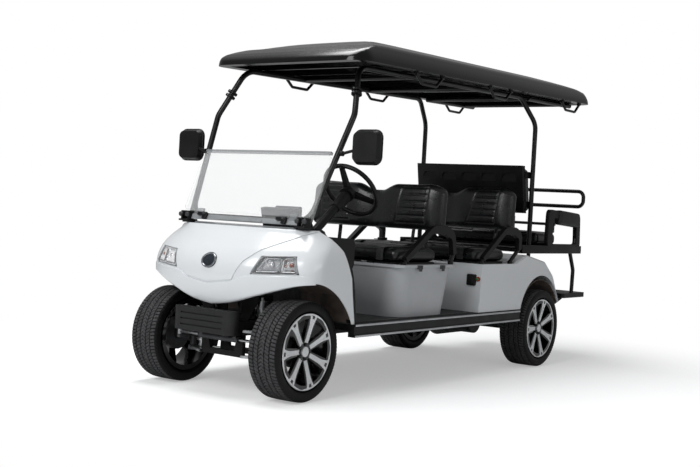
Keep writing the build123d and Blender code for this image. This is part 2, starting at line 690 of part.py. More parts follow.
# ---------------------------------------------------------------- wheel arch liners
LINER_SHEET = 4.0
LINER_INNER_Y = 240.0
LINER_OUTER_Y = BODY_HALF_WIDTH - BODY_WALL - SEAT_GAP
REAR_ARCH_RADIUS = 302.0
with BuildPart() as front_liner:
    outline = [
        (FRONT_AXLE_X + 100, 615),
        (fx(150), 615),
        (fx(255), 540),
        (TOE_FOOT_X + 6, RAIL_TOP + 8),
    ]
    with BuildSketch(Plane.XZ.offset(-LINER_INNER_Y)):
        with BuildLine():
            Polyline(*outline, *[(x - 1, z + LINER_SHEET) for x, z in reversed(outline)], close=True)
        make_face()
    extrude(amount=-(LINER_OUTER_Y - LINER_INNER_Y))
    add(body_form(BODY_WALL + SEAT_GAP), mode=Mode.INTERSECT)
with BuildPart() as rear_liner:
    with BuildSketch(Plane.XZ.offset(-(rail_high + 2))):
        with Locations((REAR_AXLE_X, TYRE_RADIUS + 25)):
            Circle(REAR_ARCH_RADIUS + LINER_SHEET)
            Circle(REAR_ARCH_RADIUS, mode=Mode.SUBTRACT)
        with Locations((REAR_AXLE_X, RAIL_TOP + 40 - 500)):
            Rectangle(1000, 1000, mode=Mode.SUBTRACT)
    extrude(amount=-(LINER_OUTER_Y - rail_high - 2))
with BuildPart() as wheel_liners:
    add(front_liner.part)
    add(rear_liner.part)
    mirror(about=Plane.XZ)
save(wheel_liners.part, "wheel_liners")

# ---------------------------------------------------------------- rear body with the second seat's base
DECK_FRONT = 1610.0
DECK_BACK = WHEELBASE - 380
REAR_PROFILE = [  # behind the front axle, z
    (DECK_FRONT, FLOOR_TOP),
    (DECK_FRONT + 22, SEAT_DECK_Z - 14),
    (DECK_FRONT + 22, SEAT_DECK_Z),
    (DECK_BACK, SEAT_DECK_Z),
    (WHEELBASE - 210, 758),
    (WHEELBASE + 60, 712),
    (WHEELBASE + 160, 640),
    (WHEELBASE + 282, 440),
]
REAR_BODY_LOW = 385.0
with BuildPart() as rear_form:
    with BuildSketch(Plane.XZ.offset(BODY_HALF_WIDTH)):
        with BuildLine():
            Polyline(*[(fx(behind), z) for behind, z in REAR_PROFILE], (fx(WHEELBASE + 282), FLOOR_TOP), close=True)
        make_face()
    extrude(amount=-2 * BODY_HALF_WIDTH)
    fillet(rear_form.edges().filter_by(Axis.Y).group_by(Axis.Z)[-1], radius=40)
    top_edges = rear_form.faces().sort_by(Axis.Y)[-1].edges() + rear_form.faces().sort_by(Axis.Y)[0].edges()
    fillet([edge for edge in top_edges if edge.center().Z > SEAT_DECK_Z - 70 and edge.center().X < fx(DECK_BACK - 100)], radius=22)
with BuildPart() as rear_body:
    add(rear_form.part)
    with BuildSketch(Plane.XZ.offset(BODY_HALF_WIDTH - BODY_WALL)):
        with BuildLine():
            Polyline(*[(fx(behind), z) for behind, z in REAR_PROFILE], (fx(WHEELBASE + 282), FLOOR_TOP), close=True)
        make_face()
        offset(amount=-BODY_WALL, kind=Kind.INTERSECTION)
    extrude(amount=-2 * (BODY_HALF_WIDTH - BODY_WALL), mode=Mode.SUBTRACT)
    with BuildSketch(Plane.XY.offset(FLOOR_TOP - 1)):
        with Locations((fx(DECK_FRONT + 600), 0)):
            Rectangle(2 * 600 - 12, 2 * (BODY_HALF_WIDTH - BODY_WALL))
    extrude(amount=BODY_WALL + 2, mode=Mode.SUBTRACT)
    # bay under the second seat
    with BuildSketch(Plane.XY.offset(SEAT_DECK_Z - 30)):
        with Locations((fx((DECK_FRONT + DECK_BACK) / 2 + 20), 0)):
            RectangleRounded(DECK_BACK - DECK_FRONT - 150, 2 * BODY_HALF_WIDTH - 260, 40)
    extrude(amount=60, mode=Mode.SUBTRACT)
    # rear wheel arches
    with BuildSketch(Plane.XZ.offset(BODY_HALF_WIDTH + 10)):
        with Locations((REAR_AXLE_X - 5, TYRE_RADIUS + 62)):
            Circle(296)
    extrude(amount=-2 * (BODY_HALF_WIDTH + 10), mode=Mode.SUBTRACT)
    # holes for the seat frame's front legs
    with BuildSketch(Plane.XY.offset(600)):
        with Locations((rx(-120), MAIN_RAIL_Y), (rx(-120), -MAIN_RAIL_Y)):
            Circle(REAR_LEG_RADIUS + 2)
    extrude(amount=200, mode=Mode.SUBTRACT)
save(rear_body.part, "rear_body")

# ---------------------------------------------------------------- front seat base
with BuildPart() as front_seat_base:
    with BuildSketch(Plane.XY.offset(FLOOR_TOP)):
        with Locations((fx(1062), 0)):
            RectangleRounded(560, 1040, 130)
    with BuildSketch(Plane.XY.offset(SEAT_DECK_Z - 16)):
        with Locations((fx(1050), 0)):
            RectangleRounded(590, 1090, 90)
    loft()
    with BuildSketch(Plane.XY.offset(SEAT_DECK_Z - 16)):
        with Locations((fx(1050), 0)):
            RectangleRounded(618, 1118, 60)
    extrude(amount=16)
    with BuildSketch(Plane.XY.offset(FLOOR_TOP)):
        with Locations((fx(1062), 0)):
            RectangleRounded(560 - 2 * BODY_WALL, 1040 - 2 * BODY_WALL, 124)
    with BuildSketch(Plane.XY.offset(SEAT_DECK_Z - 16)):
        with Locations((fx(1050), 0)):
            RectangleRounded(590 - 2 * BODY_WALL, 1090 - 2 * BODY_WALL, 84)
    loft(mode=Mode.SUBTRACT)
    with BuildSketch(Plane.XY.offset(SEAT_DECK_Z - 20)):
        with Locations((fx(1050), 0)):
            RectangleRounded(500, 960, 40)
    extrude(amount=40, mode=Mode.SUBTRACT)
save(front_seat_base.part, "front_seat_base")

# ---------------------------------------------------------------- dashboard, column, wheel, pedals
DASH_HALF_WIDTH = 500.0
DASH_BACK = 372.0
DASH_POCKETS = [  # centre y, width
    (-330, 230),
    (0, 150),
    (430, 90),
]
WHEEL_CENTRE = Vector(fx(620), 270, 1104)
COLUMN_SLOPE = 37.5
WHEEL_RADIUS = 165.0
WHEEL_GRIP = 13.0
COLUMN_RADIUS = 24.0
COLUMN_LENGTH = 420.0
column_axis = Vector(cos(radians(COLUMN_SLOPE)), 0, -sin(radians(COLUMN_SLOPE)))
wheel_plane = Plane(origin=WHEEL_CENTRE, x_dir=(0, 1, 0), z_dir=column_axis)
column_top = WHEEL_CENTRE + column_axis * 66
column_foot = WHEEL_CENTRE + column_axis * (66 + COLUMN_LENGTH)
with BuildPart() as dashboard:
    with BuildSketch(Plane.XZ.offset(DASH_HALF_WIDTH)):
        with BuildLine():
            Polyline(
                (fx(122), 848),
                (fx(DASH_BACK - 20), 840),
                (fx(DASH_BACK), 818),
                (fx(DASH_BACK), 700),
                (fx(DASH_BACK - 40), 640),
                (fx(276), TOE_KNEE_Z),
                (fx(258), TOE_KNEE_Z),
                (fx(240), 696),
                (fx(200), 774),
                close=True,
            )
        make_face()
    extrude(amount=-2 * DASH_HALF_WIDTH)
    for pocket_y, width in DASH_POCKETS:
        with BuildSketch(Plane.YZ.offset(fx(DASH_BACK + 5))):
            with Locations((pocket_y, 762)):
                RectangleRounded(width, 80, 18)
        extrude(amount=105, mode=Mode.SUBTRACT)
    # display pod on the dash top
    with BuildSketch(Plane.YZ.offset(fx(DASH_BACK - 10))):
        with BuildLine():
            Polyline((-95, 815), (95, 815), (115, 985), (-135, 985), close=True)
        make_face()
    extrude(amount=46, taper=8)
    # clearance round the steering column
    with BuildSketch(Plane(origin=column_top, x_dir=(0, 1, 0), z_dir=column_axis)):
        Circle(COLUMN_RADIUS)
    extrude(amount=COLUMN_LENGTH, mode=Mode.SUBTRACT)
save(dashboard.part, "dashboard")

with BuildPart() as steering_column:
    with BuildSketch(Plane(origin=column_top, x_dir=(0, 1, 0), z_dir=column_axis)):
        Circle(COLUMN_RADIUS)
    extrude(amount=COLUMN_LENGTH)
    with BuildSketch(Plane(origin=column_top, x_dir=(0, 1, 0), z_dir=column_axis)):
        Circle(COLUMN_RADIUS + 12)
    extrude(amount=110, taper=4)
save(steering_column.part, "steering_column")

with BuildPart() as steering_wheel:
    with BuildSketch(Plane(origin=WHEEL_CENTRE, x_dir=column_axis, z_dir=(0, 1, 0))):
        with Locations((0, WHEEL_RADIUS)):
            Circle(WHEEL_GRIP)
    revolve(axis=Axis(WHEEL_CENTRE, column_axis))
    with BuildSketch(wheel_plane.offset(18)):
        Circle(44)
    extrude(amount=31)
    with BuildSketch(wheel_plane.offset(48)):
        Circle(26)
    extrude(amount=18 - RUNNING_CLEARANCE)
    for turn in (90, 210, 330):
        spoke_out = wheel_plane.x_dir * cos(radians(turn)) + wheel_plane.y_dir * sin(radians(turn))
        with BuildSketch(Plane(origin=WHEEL_CENTRE, x_dir=spoke_out, z_dir=column_axis.cross(spoke_out))):
            with BuildLine():
                Polyline((0, -6), (WHEEL_RADIUS, 5), (WHEEL_RADIUS, -5), (40, -30), (0, -30), close=True)
            make_face()
        extrude(amount=15, both=True)
save(steering_wheel.part, "steering_wheel")

PEDALS = [  # centre y, width, height
    (330, 80, 60),
    (190, 62, 90),
]
PEDAL_PIVOT_Z = 492.0


def toe_face(z):
    """X of the toe board's rear face at a height."""
    share = (z - FLOOR_TOP) / (TOE_KNEE_Z - FLOOR_TOP)
    return (TOE_FOOT_X - FLOOR_SHEET) + share * (TOE_KNEE_X - 5 - TOE_FOOT_X + FLOOR_SHEET)


with BuildPart() as pedals:
    for pedal_y, width, height in PEDALS:
        pad_plane = Plane(origin=(fx(395), pedal_y, 500), x_dir=(0, 1, 0), z_dir=(-0.8, 0, 0.6))
        with BuildSketch(pad_plane):
            RectangleRounded(width, height, 10)
        extrude(amount=10)
        add(rod((fx(395), pedal_y, 500), (toe_face(PEDAL_PIVOT_Z - 8) + SEAT_GAP / 2, pedal_y, PEDAL_PIVOT_Z), 8))
save(pedals.part, "pedals")

# ---------------------------------------------------------------- roof struts and overhead tubes
FRONT_STRUT_FOOT = (fx(55), 414, 885)
FRONT_STRUT_BEND = (fx(319), 489, 1499)
STRUT_BEND_RADIUS = 110.0
TUBE_Y = 405.0
OVERHEAD_FRONT_X = fx(450)
REAR_POST_X = rx(40)
REAR_POST_Y = 446.0
ROOF_FRONT_X = fx(285)
ROOF_REAR_X = rx(760)


def roof_edge(x):
    """Height of the roof's lower edge at a station."""
    share = (ROOF_FRONT_X - x) / (ROOF_FRONT_X - ROOF_REAR_X)
    return ROOF_EDGE_FRONT_Z + share * (ROOF_EDGE_REAR_Z - ROOF_EDGE_FRONT_Z)


def overhead(x, y):
    """A point on the overhead tube's centreline, just below the roof's ribs."""
    return (x, y, roof_edge(x) - STRUT_RADIUS - SEAT_GAP)


front_strut = tube(
    [FRONT_STRUT_FOOT, FRONT_STRUT_BEND, overhead(OVERHEAD_FRONT_X, TUBE_Y), overhead(fx(1250), TUBE_Y)],
    STRUT_RADIUS,
    STRUT_BEND_RADIUS,
)
with BuildPart() as front_foot:
    add(front_strut)
    with BuildSketch(Plane.XY.offset(876 + SEAT_GAP)):
        with Locations((fx(56), 414)):
            RectangleRounded(76, 60, 10)
    extrude(amount=10)
with BuildPart() as front_roof_struts:
    add(front_foot.part)
    mirror(about=Plane.XZ)
    cross_x = fx(1000)
    add(rod(overhead(cross_x, -TUBE_Y), overhead(cross_x, TUBE_Y), STRUT_RADIUS - 2))
save(front_roof_struts.part, "front_roof_struts")

SEAT_RAIL_Z = 785.0
SEAT_RAIL_RADIUS = 17.0
rear_strut = tube(
    [
        (REAR_POST_X, REAR_POST_Y, SEAT_RAIL_Z + REAR_LEG_RADIUS + SEAT_GAP),
        (REAR_POST_X, REAR_POST_Y, 1650),
        overhead(rx(-120), TUBE_Y),
        overhead(fx(1250) - SEAT_GAP, TUBE_Y),
    ],
    STRUT_RADIUS,
    STRUT_BEND_RADIUS,
)
rear_tube = rod(overhead(rx(-20), TUBE_Y), overhead(rx(640), TUBE_Y), STRUT_RADIUS)
with BuildPart() as rear_roof_struts:
    add(rear_strut)
    add(rear_tube)
    mirror(about=Plane.XZ)
    for cross_x in (fx(1700), rx(-20), rx(500)):
        add(rod(overhead(cross_x, -TUBE_Y), overhead(cross_x, TUBE_Y), STRUT_RADIUS - 2))
save(rear_roof_struts.part, "rear_roof_struts")

# ---------------------------------------------------------------- roof
ROOF_CROWN = [  # behind the front edge, rise above the lower edge
    (0, 0),
    (6, 30),
    (60, 100),
    (240, 150),
    (555, 192),
    (1500, 172),
    (2600, 128),
    (2850, 96),
]
ROOF_SECTION = [(538, -2), (534, 22), (494, 92), (400, 122), (200, 172), (0, 200)]  # y, rise above the lower edge
ROOF_CORNER = 110.0
HANDLE_STATIONS = (fx(1045), fx(1900), rx(495))
HANDLE_TOP_WIDTH = 280.0
ROOF_RIBS = [fx(600)] + [station + end * HANDLE_TOP_WIDTH / 2 for station in HANDLE_STATIONS for end in (1, -1)]
RIB_WIDTH = 26.0


def roof_form(inset):
    """The roof's solid form with its skin moved in by inset."""
    length = ROOF_FRONT_X - ROOF_REAR_X
    crown = [(behind / 2915 * length, rise) for behind, rise in ROOF_CROWN]
    with BuildPart() as form:
        with BuildSketch(Plane.XZ.offset(ROOF_HALF_WIDTH - inset)):
            with BuildLine():
                points = [(ROOF_FRONT_X - inset, roof_edge(ROOF_FRONT_X))]
                for behind, rise in crown[1:]:
                    x = ROOF_FRONT_X - behind
                    points.append((x - (inset if behind < 200 else 0), roof_edge(x) + rise - inset))
                points.append((ROOF_REAR_X + inset, roof_edge(ROOF_REAR_X) + 30))
                points.append((ROOF_REAR_X + inset, roof_edge(ROOF_REAR_X)))
                Polyline(*points, close=True)
            make_face()
        extrude(amount=-2 * (ROOF_HALF_WIDTH - inset))
        with BuildSketch(Plane.YZ.offset(ROOF_FRONT_X + 10)):
            with BuildLine():
                side_points = [(max(y - inset, 0), ROOF_EDGE_FRONT_Z + rise - (inset if rise > 30 else 0)) for y, rise in ROOF_SECTION]
                Polyline(*side_points, *[(-y, z) for y, z in reversed(side_points[:-1])], close=True)
            make_face()
        slope = Vector(ROOF_REAR_X - ROOF_FRONT_X, 0, ROOF_EDGE_REAR_Z - ROOF_EDGE_FRONT_Z)
        extrude(amount=slope.length + 20, dir=slope, mode=Mode.INTERSECT)
        with BuildSketch(Plane.XY.offset(ROOF_EDGE_FRONT_Z - 100)):
            with Locations(((ROOF_FRONT_X + ROOF_REAR_X) / 2, 0)):
                RectangleRounded(length - 2 * inset, 2 * (ROOF_HALF_WIDTH - inset), ROOF_CORNER - inset)
        extrude(amount=600, mode=Mode.INTERSECT)
    return form.part


ROOF_FLANGE = 78.0
RIB_HALF_LENGTH = ROOF_HALF_WIDTH - ROOF_FLANGE
with BuildPart() as roof_hollow:
    add(roof_form(ROOF_SKIN))
    with BuildSketch(Plane.XZ.offset(ROOF_HALF_WIDTH)):
        with BuildLine():
            Polyline(
                (ROOF_FRONT_X + 20, roof_edge(ROOF_FRONT_X + 20) + ROOF_SKIN),
                (ROOF_REAR_X - 20, roof_edge(ROOF_REAR_X - 20) + ROOF_SKIN),
                (ROOF_REAR_X - 20, roof_edge(ROOF_REAR_X) + 400),
                (ROOF_FRONT_X + 20, roof_edge(ROOF_REAR_X) + 400),
                close=True,
            )
        make_face()
    extrude(amount=-2 * ROOF_HALF_WIDTH, mode=Mode.INTERSECT)
with BuildPart() as roof:
    add(roof_form(0))
    add(roof_hollow.part, mode=Mode.SUBTRACT)
    opening_front, opening_back = ROOF_FRONT_X - ROOF_FLANGE, ROOF_REAR_X + ROOF_FLANGE
    with BuildSketch(Plane.XY.offset(ROOF_EDGE_FRONT_Z - 20)):
        with Locations(((opening_front + opening_back) / 2, 0)):
            RectangleRounded(opening_front - opening_back, 2 * RIB_HALF_LENGTH, 12)
    extrude(amount=ROOF_EDGE_REAR_Z - ROOF_EDGE_FRONT_Z + 40 + ROOF_SKIN, mode=Mode.SUBTRACT)
save(roof.part, "roof")

with BuildPart() as roof_ribs:
    for rib in ROOF_RIBS:
        ends = [rib + RIB_WIDTH / 2, rib - RIB_WIDTH / 2]
        outline = [(x, roof_edge(x)) for x in ends] + [(x, roof_edge(x) + ROOF_SKIN) for x in reversed(ends)]
        add(across(outline, -RIB_HALF_LENGTH, RIB_HALF_LENGTH))
save(roof_ribs.part, "roof_ribs")

GRIP_RADIUS = 9.0
GRIP_Y = 482.0
GRIP_DROP = 62.0
GRIP_WIDTH = 150.0
with BuildPart() as handles:
    for station in HANDLE_STATIONS:
        high = [(station + end * HANDLE_TOP_WIDTH / 2, GRIP_Y) for end in (1, -1)]
        points = [(x, y, roof_edge(x) - GRIP_RADIUS) for x, y in high]
        points.insert(1, (station + GRIP_WIDTH / 2, GRIP_Y, roof_edge(station) - GRIP_DROP))
        points.insert(2, (station - GRIP_WIDTH / 2, GRIP_Y, roof_edge(station) - GRIP_DROP))
        add(tube(points, GRIP_RADIUS, 24))
        for x, y in high:
            add(rod((x, y, roof_edge(x) - GRIP_RADIUS - 2), (x, y, roof_edge(x) - SEAT_GAP), GRIP_RADIUS + 6))
    mirror(about=Plane.XZ)
save(handles.part, "roof_handles")

# ---------------------------------------------------------------- windscreen
GLASS_SHEET = 5.0
GLASS_HALF_WIDTH = 455.0
GLASS_LENGTH = 398.0
FOLD_GAP = 10.0
HINGE_DEPTH = 14.0
strut_run = Vector(*FRONT_STRUT_BEND) - Vector(*FRONT_STRUT_FOOT)
lean = Vector(strut_run.X, 0, strut_run.Z).normalized()
glass_normal = Vector(lean.Z, 0, -lean.X)
glass_foot = Vector(FRONT_STRUT_FOOT[0], 0, FRONT_STRUT_FOOT[2]) + lean * 16 + glass_normal * (STRUT_RADIUS + SEAT_GAP)
glass_plane = Plane(origin=glass_foot, x_dir=(0, 1, 0), z_dir=glass_normal)
with BuildPart() as lower_screen:
    with BuildSketch(glass_plane) as lower_pane:
        with Locations((0, GLASS_LENGTH / 2)):
            Rectangle(2 * GLASS_HALF_WIDTH, GLASS_LENGTH)
        fillet(lower_pane.vertices().group_by(Axis.Z)[0], radius=38)
    extrude(amount=GLASS_SHEET)
save(lower_screen.part, "windscreen_lower")
with BuildPart() as upper_screen:
    with BuildSketch(glass_plane.offset(GLASS_SHEET + FOLD_GAP)) as upper_pane:
        with Locations((0, GLASS_LENGTH / 2 + 16)):
            Rectangle(2 * GLASS_HALF_WIDTH, GLASS_LENGTH - 32)
        fillet(upper_pane.vertices().group_by(Axis.Z)[0], radius=38)
    extrude(amount=GLASS_SHEET)
save(upper_screen.part, "windscreen_upper")
with BuildPart() as screen_fittings:
    # folding hinge along the top of both panes
    with BuildSketch(Plane(origin=glass_foot + lean * (GLASS_LENGTH + SEAT_GAP), x_dir=(0, 1, 0), z_dir=lean)):
        with Locations((0, -(2 * GLASS_SHEET + FOLD_GAP) / 2)):
            Rectangle(2 * GLASS_HALF_WIDTH - 20, 2 * GLASS_SHEET + FOLD_GAP)
    extrude(amount=HINGE_DEPTH)
    # rubber blocks between the folded panes and the clips that hold the free edge
    for clip_y in (-330, 330):
        with BuildSketch(glass_plane.offset(GLASS_SHEET + SEAT_GAP)):
            with Locations((clip_y, 30)):
                Rectangle(46, 40)
        extrude(amount=FOLD_GAP - 2 * SEAT_GAP)
    # channel that seats the lower pane on the cowl
    with BuildSketch(Plane.XY.offset(FRONT_SLICES[-1][0] + SEAT_GAP)):
        with Locations((glass_foot.X + 7, 0)):
            Rectangle(20, 700)
    extrude(amount=9)
save(screen_fittings.part, "windscreen_fittings")

# ---------------------------------------------------------------- seats
CUSHION_LOW = SEAT_DECK_Z + SEAT_GAP
CUSHION_HEIGHT = 92.0
LID_HINGE_RADIUS = 5.0
LID_KNUCKLE = 40.0
LID_HINGES = (-300.0, 300.0)
LID_HINGE_AHEAD = 8.0
BENCHES = [  # name, cushion front, back, panel front, back, low z, high z, half width, deck z at the legs
    ("front", 756, 1215, 1222, 1330, 905, 1180, 505, SEAT_DECK_Z),
    ("second", 1648, 2062, 2098, 2206, 925, 1200, 505, SEAT_DECK_Z + 54),
]
BACK_LEAN = 14.0
for name, front, back, panel_front, panel_back, low, high, half_width, foot_z in BENCHES:
    with BuildPart() as cushion:
        with BuildSketch(Plane.XY.offset(CUSHION_LOW + 10)):
            with Locations((fx((front + back) / 2), 0)):
                RectangleRounded(back - front, 2 * CUSHION_HALF_WIDTH, 45)
        extrude(amount=CUSHION_HEIGHT - 10)
        fillet(cushion.faces().sort_by(Axis.Z)[-1].edges(), radius=26)
    save(cushion.part, f"{name}_seat_cushion")
    lid_hinge_x = fx(front - LID_HINGE_AHEAD)
    with BuildPart() as board:
        with BuildSketch(Plane.XY.offset(CUSHION_LOW)):
            with Locations((fx((front + back) / 2), 0)):
                RectangleRounded(back - front - 16, 2 * CUSHION_HALF_WIDTH - 16, 40)
            for hinge_y in LID_HINGES:
                with Locations(((lid_hinge_x + fx(front + 20)) / 2, hinge_y - LID_KNUCKLE), ((lid_hinge_x + fx(front + 20)) / 2, hinge_y + LID_KNUCKLE)):
                    Rectangle(lid_hinge_x - fx(front + 20), LID_KNUCKLE - 2)
        extrude(amount=2 * LID_HINGE_RADIUS)
        for hinge_y in LID_HINGES:
            for knuckle_y in (hinge_y - LID_KNUCKLE, hinge_y + LID_KNUCKLE):
                with BuildSketch(Plane.XZ.offset(-(knuckle_y - LID_KNUCKLE / 2 + 1))):
                    with Locations((lid_hinge_x, CUSHION_LOW + LID_HINGE_RADIUS)):
                        Circle(LID_HINGE_RADIUS)
                extrude(amount=-(LID_KNUCKLE - 2))
    save(board.part, f"{name}_seat_board")
    with BuildPart() as panel:
        with BuildSketch(Plane.XZ.offset(half_width)) as side_view:
            with BuildLine():
                Polyline(
                    (fx(panel_front), low),
                    (fx(panel_front + BACK_LEAN), high),
                    (fx(panel_back + BACK_LEAN), high),
                    (fx(panel_back), low),
                    close=True,
                )
            make_face()
            fillet(side_view.vertices(), radius=34)
        extrude(amount=-2 * half_width)
        fillet(panel.faces().sort_by(Axis.Y)[-1].edges() + panel.faces().sort_by(Axis.Y)[0].edges(), radius=24)
    save(panel.part, f"{name}_seat_back")

with BuildPart() as lid_hinges:
    for bench in BENCHES:
        lid_hinge_x = fx(bench[1] - LID_HINGE_AHEAD)
        for hinge_y in LID_HINGES:
            with BuildSketch(Plane.XZ.offset(-(hinge_y - LID_KNUCKLE / 2 + 1))):
                with Locations((lid_hinge_x, CUSHION_LOW + LID_HINGE_RADIUS)):
                    Circle(LID_HINGE_RADIUS)
            extrude(amount=-(LID_KNUCKLE - 2))
save(lid_hinges.part, "seat_lid_hinges")

BACK_LEG_Y = 330.0
BACK_LEG_RADIUS = 12.0
with BuildPart() as seat_back_frames:
    for name, front, back, panel_front, panel_back, low, high, half_width, foot_z in BENCHES:
        leg_x = fx(panel_back + BACK_LEAN * (1 - 60 / (high - low))) - BACK_LEG_RADIUS - SEAT_GAP
        foot_x = leg_x + 12
        for side in (1, -1):
            leg_y = side * BACK_LEG_Y
            leg = [(foot_x, leg_y, foot_z + SEAT_GAP), (foot_x, leg_y, foot_z + 60), (leg_x, leg_y, low - 30), (leg_x, leg_y, high - 60)]
            add(tube(leg, BACK_LEG_RADIUS, 30))
        add(rod((leg_x, -BACK_LEG_Y - 60, (low + high) / 2), (leg_x, BACK_LEG_Y + 60, (low + high) / 2), BACK_LEG_RADIUS))
save(seat_back_frames.part, "seat_back_frames")

ARM_RADIUS = 13.0
ARM_LOOPS = [  # y, then (behind, z) of the loop from its front foot to its rear foot
    (541, [(790, SEAT_DECK_Z), (1075, 905), (1215, 905), (1300, 870), (1325, 760), (1300, SEAT_DECK_Z)]),
    (545, [(1660, SEAT_DECK_Z), (1950, 912), (2080, 912), (2150, 880), (2150, 790), (2045, SEAT_DECK_Z)]),
]
with BuildPart() as armrests:
    for arm_y, loop in ARM_LOOPS:
        points = [(fx(behind), arm_y, z) for behind, z in loop]
        points[0] = (points[0][0], arm_y, SEAT_DECK_Z + SEAT_GAP + ARM_RADIUS)
        points[-1] = (points[-1][0], arm_y, SEAT_DECK_Z + SEAT_GAP + ARM_RADIUS)
        add(tube(points, ARM_RADIUS, 30))
        for x, y, z in (points[0], points[-1]):
            add(rod((x, y, SEAT_DECK_Z + SEAT_GAP), (x, y, SEAT_DECK_Z + SEAT_GAP + ARM_RADIUS + 2), ARM_RADIUS + 4))
    mirror(about=Plane.XZ)
save(armrests.part, "armrests")

# ---------------------------------------------------------------- rear-facing seat
SEAT_FRAME_Y = 480.0
SEAT_FRAME_FRONT = -142.0
SEAT_FRAME_BACK = 790.0
CUSHION_FRONT = 214.0
CUSHION_BACK = 535.0
HINGE_SETBACK = 16.0
BOARD_SHEET = 12.0
HINGE_KNUCKLE_RADIUS = 9.0
BOARD_LOW = SEAT_RAIL_Z + REAR_LEG_RADIUS + SEAT_GAP
FLIP_HINGE_X = rx(CUSHION_BACK + HINGE_SETBACK)
FLIP_HINGE_Z = BOARD_LOW + HINGE_KNUCKLE_RADIUS - 4
HINGE_BEAM_RADIUS = 12.0
HINGE_PLACES = (-260.0, 260.0)
REAR_CUSHION_HEIGHT = 96.0
STRUT_FOOT_Z = 470.0
GRAB_BAR_X = rx(REAR_OVERHANG) + HANDLE_RADIUS + 2
with BuildPart() as rear_seat_frame:
    for side in (1, -1):
        add(rod((rx(SEAT_FRAME_FRONT), side * SEAT_FRAME_Y, SEAT_RAIL_Z), (rx(SEAT_FRAME_BACK), side * SEAT_FRAME_Y, SEAT_RAIL_Z), SEAT_RAIL_RADIUS))
        # braces from the rails to the foot platform
        brace = [
            (rx(627), side * SEAT_FRAME_Y, SEAT_RAIL_Z),
            (rx(735), side * (SEAT_FRAME_Y - 14), 640),
            (rx(729), side * (SEAT_FRAME_Y - 14), STRUT_FOOT_Z + SEAT_GAP),
        ]
        add(tube(brace, 14, 40))
        # legs down to the chassis rails
        add(rod((rx(-120), side * MAIN_RAIL_Y, RAIL_TOP + SEAT_GAP), (rx(-120), side * MAIN_RAIL_Y, SEAT_RAIL_Z), REAR_LEG_RADIUS - 2))
        # side arms
        arm = [
            (rx(250), side * SEAT_FRAME_Y, SEAT_RAIL_Z),
            (rx(330), side * SEAT_FRAME_Y, 1040),
            (rx(740), side * SEAT_FRAME_Y, 1026),
            (rx(700), side * SEAT_FRAME_Y, SEAT_RAIL_Z),
        ]
        add(tube(arm, HANDLE_RADIUS, 50))
    for cross_x, radius in ((rx(-120), REAR_LEG_RADIUS), (REAR_POST_X, REAR_LEG_RADIUS), (rx(CUSHION_FRONT + 30), REAR_LEG_RADIUS)):
        add(rod((cross_x, -SEAT_FRAME_Y, SEAT_RAIL_Z), (cross_x, SEAT_FRAME_Y, SEAT_RAIL_Z), radius))
    # hinge beam under the cushion's rear edge, and its knuckles
    beam_x, beam_z = FLIP_HINGE_X + HINGE_BEAM_RADIUS + 6, SEAT_RAIL_Z
    add(rod((beam_x, -SEAT_FRAME_Y, beam_z), (beam_x, SEAT_FRAME_Y, beam_z), HINGE_BEAM_RADIUS))
    for hinge_y in HINGE_PLACES:
        with BuildSketch(Plane.XZ.offset(-(hinge_y - 14))):
            with Locations((FLIP_HINGE_X, FLIP_HINGE_Z)):
                Circle(HINGE_KNUCKLE_RADIUS)
            with BuildLine():
                Polyline(
                    (FLIP_HINGE_X - HINGE_KNUCKLE_RADIUS + 2, FLIP_HINGE_Z),
                    (FLIP_HINGE_X - HINGE_KNUCKLE_RADIUS + 2, beam_z),
                    (beam_x, beam_z - 8),
                    (beam_x, beam_z + 7),
                    (FLIP_HINGE_X + HINGE_KNUCKLE_RADIUS - 2, FLIP_HINGE_Z),
                    close=True,
                )
            make_face()
        extrude(amount=-28)
save(rear_seat_frame.part, "rear_seat_frame")

with BuildPart() as rear_seat_board:
    with BuildSketch(Plane.XY.offset(BOARD_LOW)):
        with Locations(((rx(CUSHION_FRONT) + FLIP_HINGE_X) / 2, 0)):
            RectangleRounded(rx(CUSHION_FRONT) - FLIP_HINGE_X, 2 * REAR_CUSHION_HALF_WIDTH - 10, 16)
    extrude(amount=BOARD_SHEET)
    for hinge_y in HINGE_PLACES:
        with BuildSketch(Plane.XY.offset(BOARD_LOW - 10)):
            with Locations((FLIP_HINGE_X, hinge_y)):
                Rectangle(2 * HINGE_KNUCKLE_RADIUS + 5, 28 + 2)
        extrude(amount=50, mode=Mode.SUBTRACT)
        for end in (1, -1):
            with BuildSketch(Plane.XZ.offset(-(hinge_y + end * 15))):
                with Locations((FLIP_HINGE_X, FLIP_HINGE_Z)):
                    Circle(HINGE_KNUCKLE_RADIUS)
            extrude(amount=-end * 16)
save(rear_seat_board.part, "rear_seat_board")

with BuildPart() as rear_cushion:
    with BuildSketch(Plane.XY.offset(BOARD_LOW + BOARD_SHEET)):
        with Locations(((rx(CUSHION_FRONT) + rx(CUSHION_BACK)) / 2, 0)):
            RectangleRounded(CUSHION_BACK - CUSHION_FRONT, 2 * REAR_CUSHION_HALF_WIDTH, 40)
    extrude(amount=REAR_CUSHION_HEIGHT)
    fillet(rear_cushion.faces().sort_by(Axis.Z)[-1].edges(), radius=26)
save(rear_cushion.part, "rear_seat_cushion")

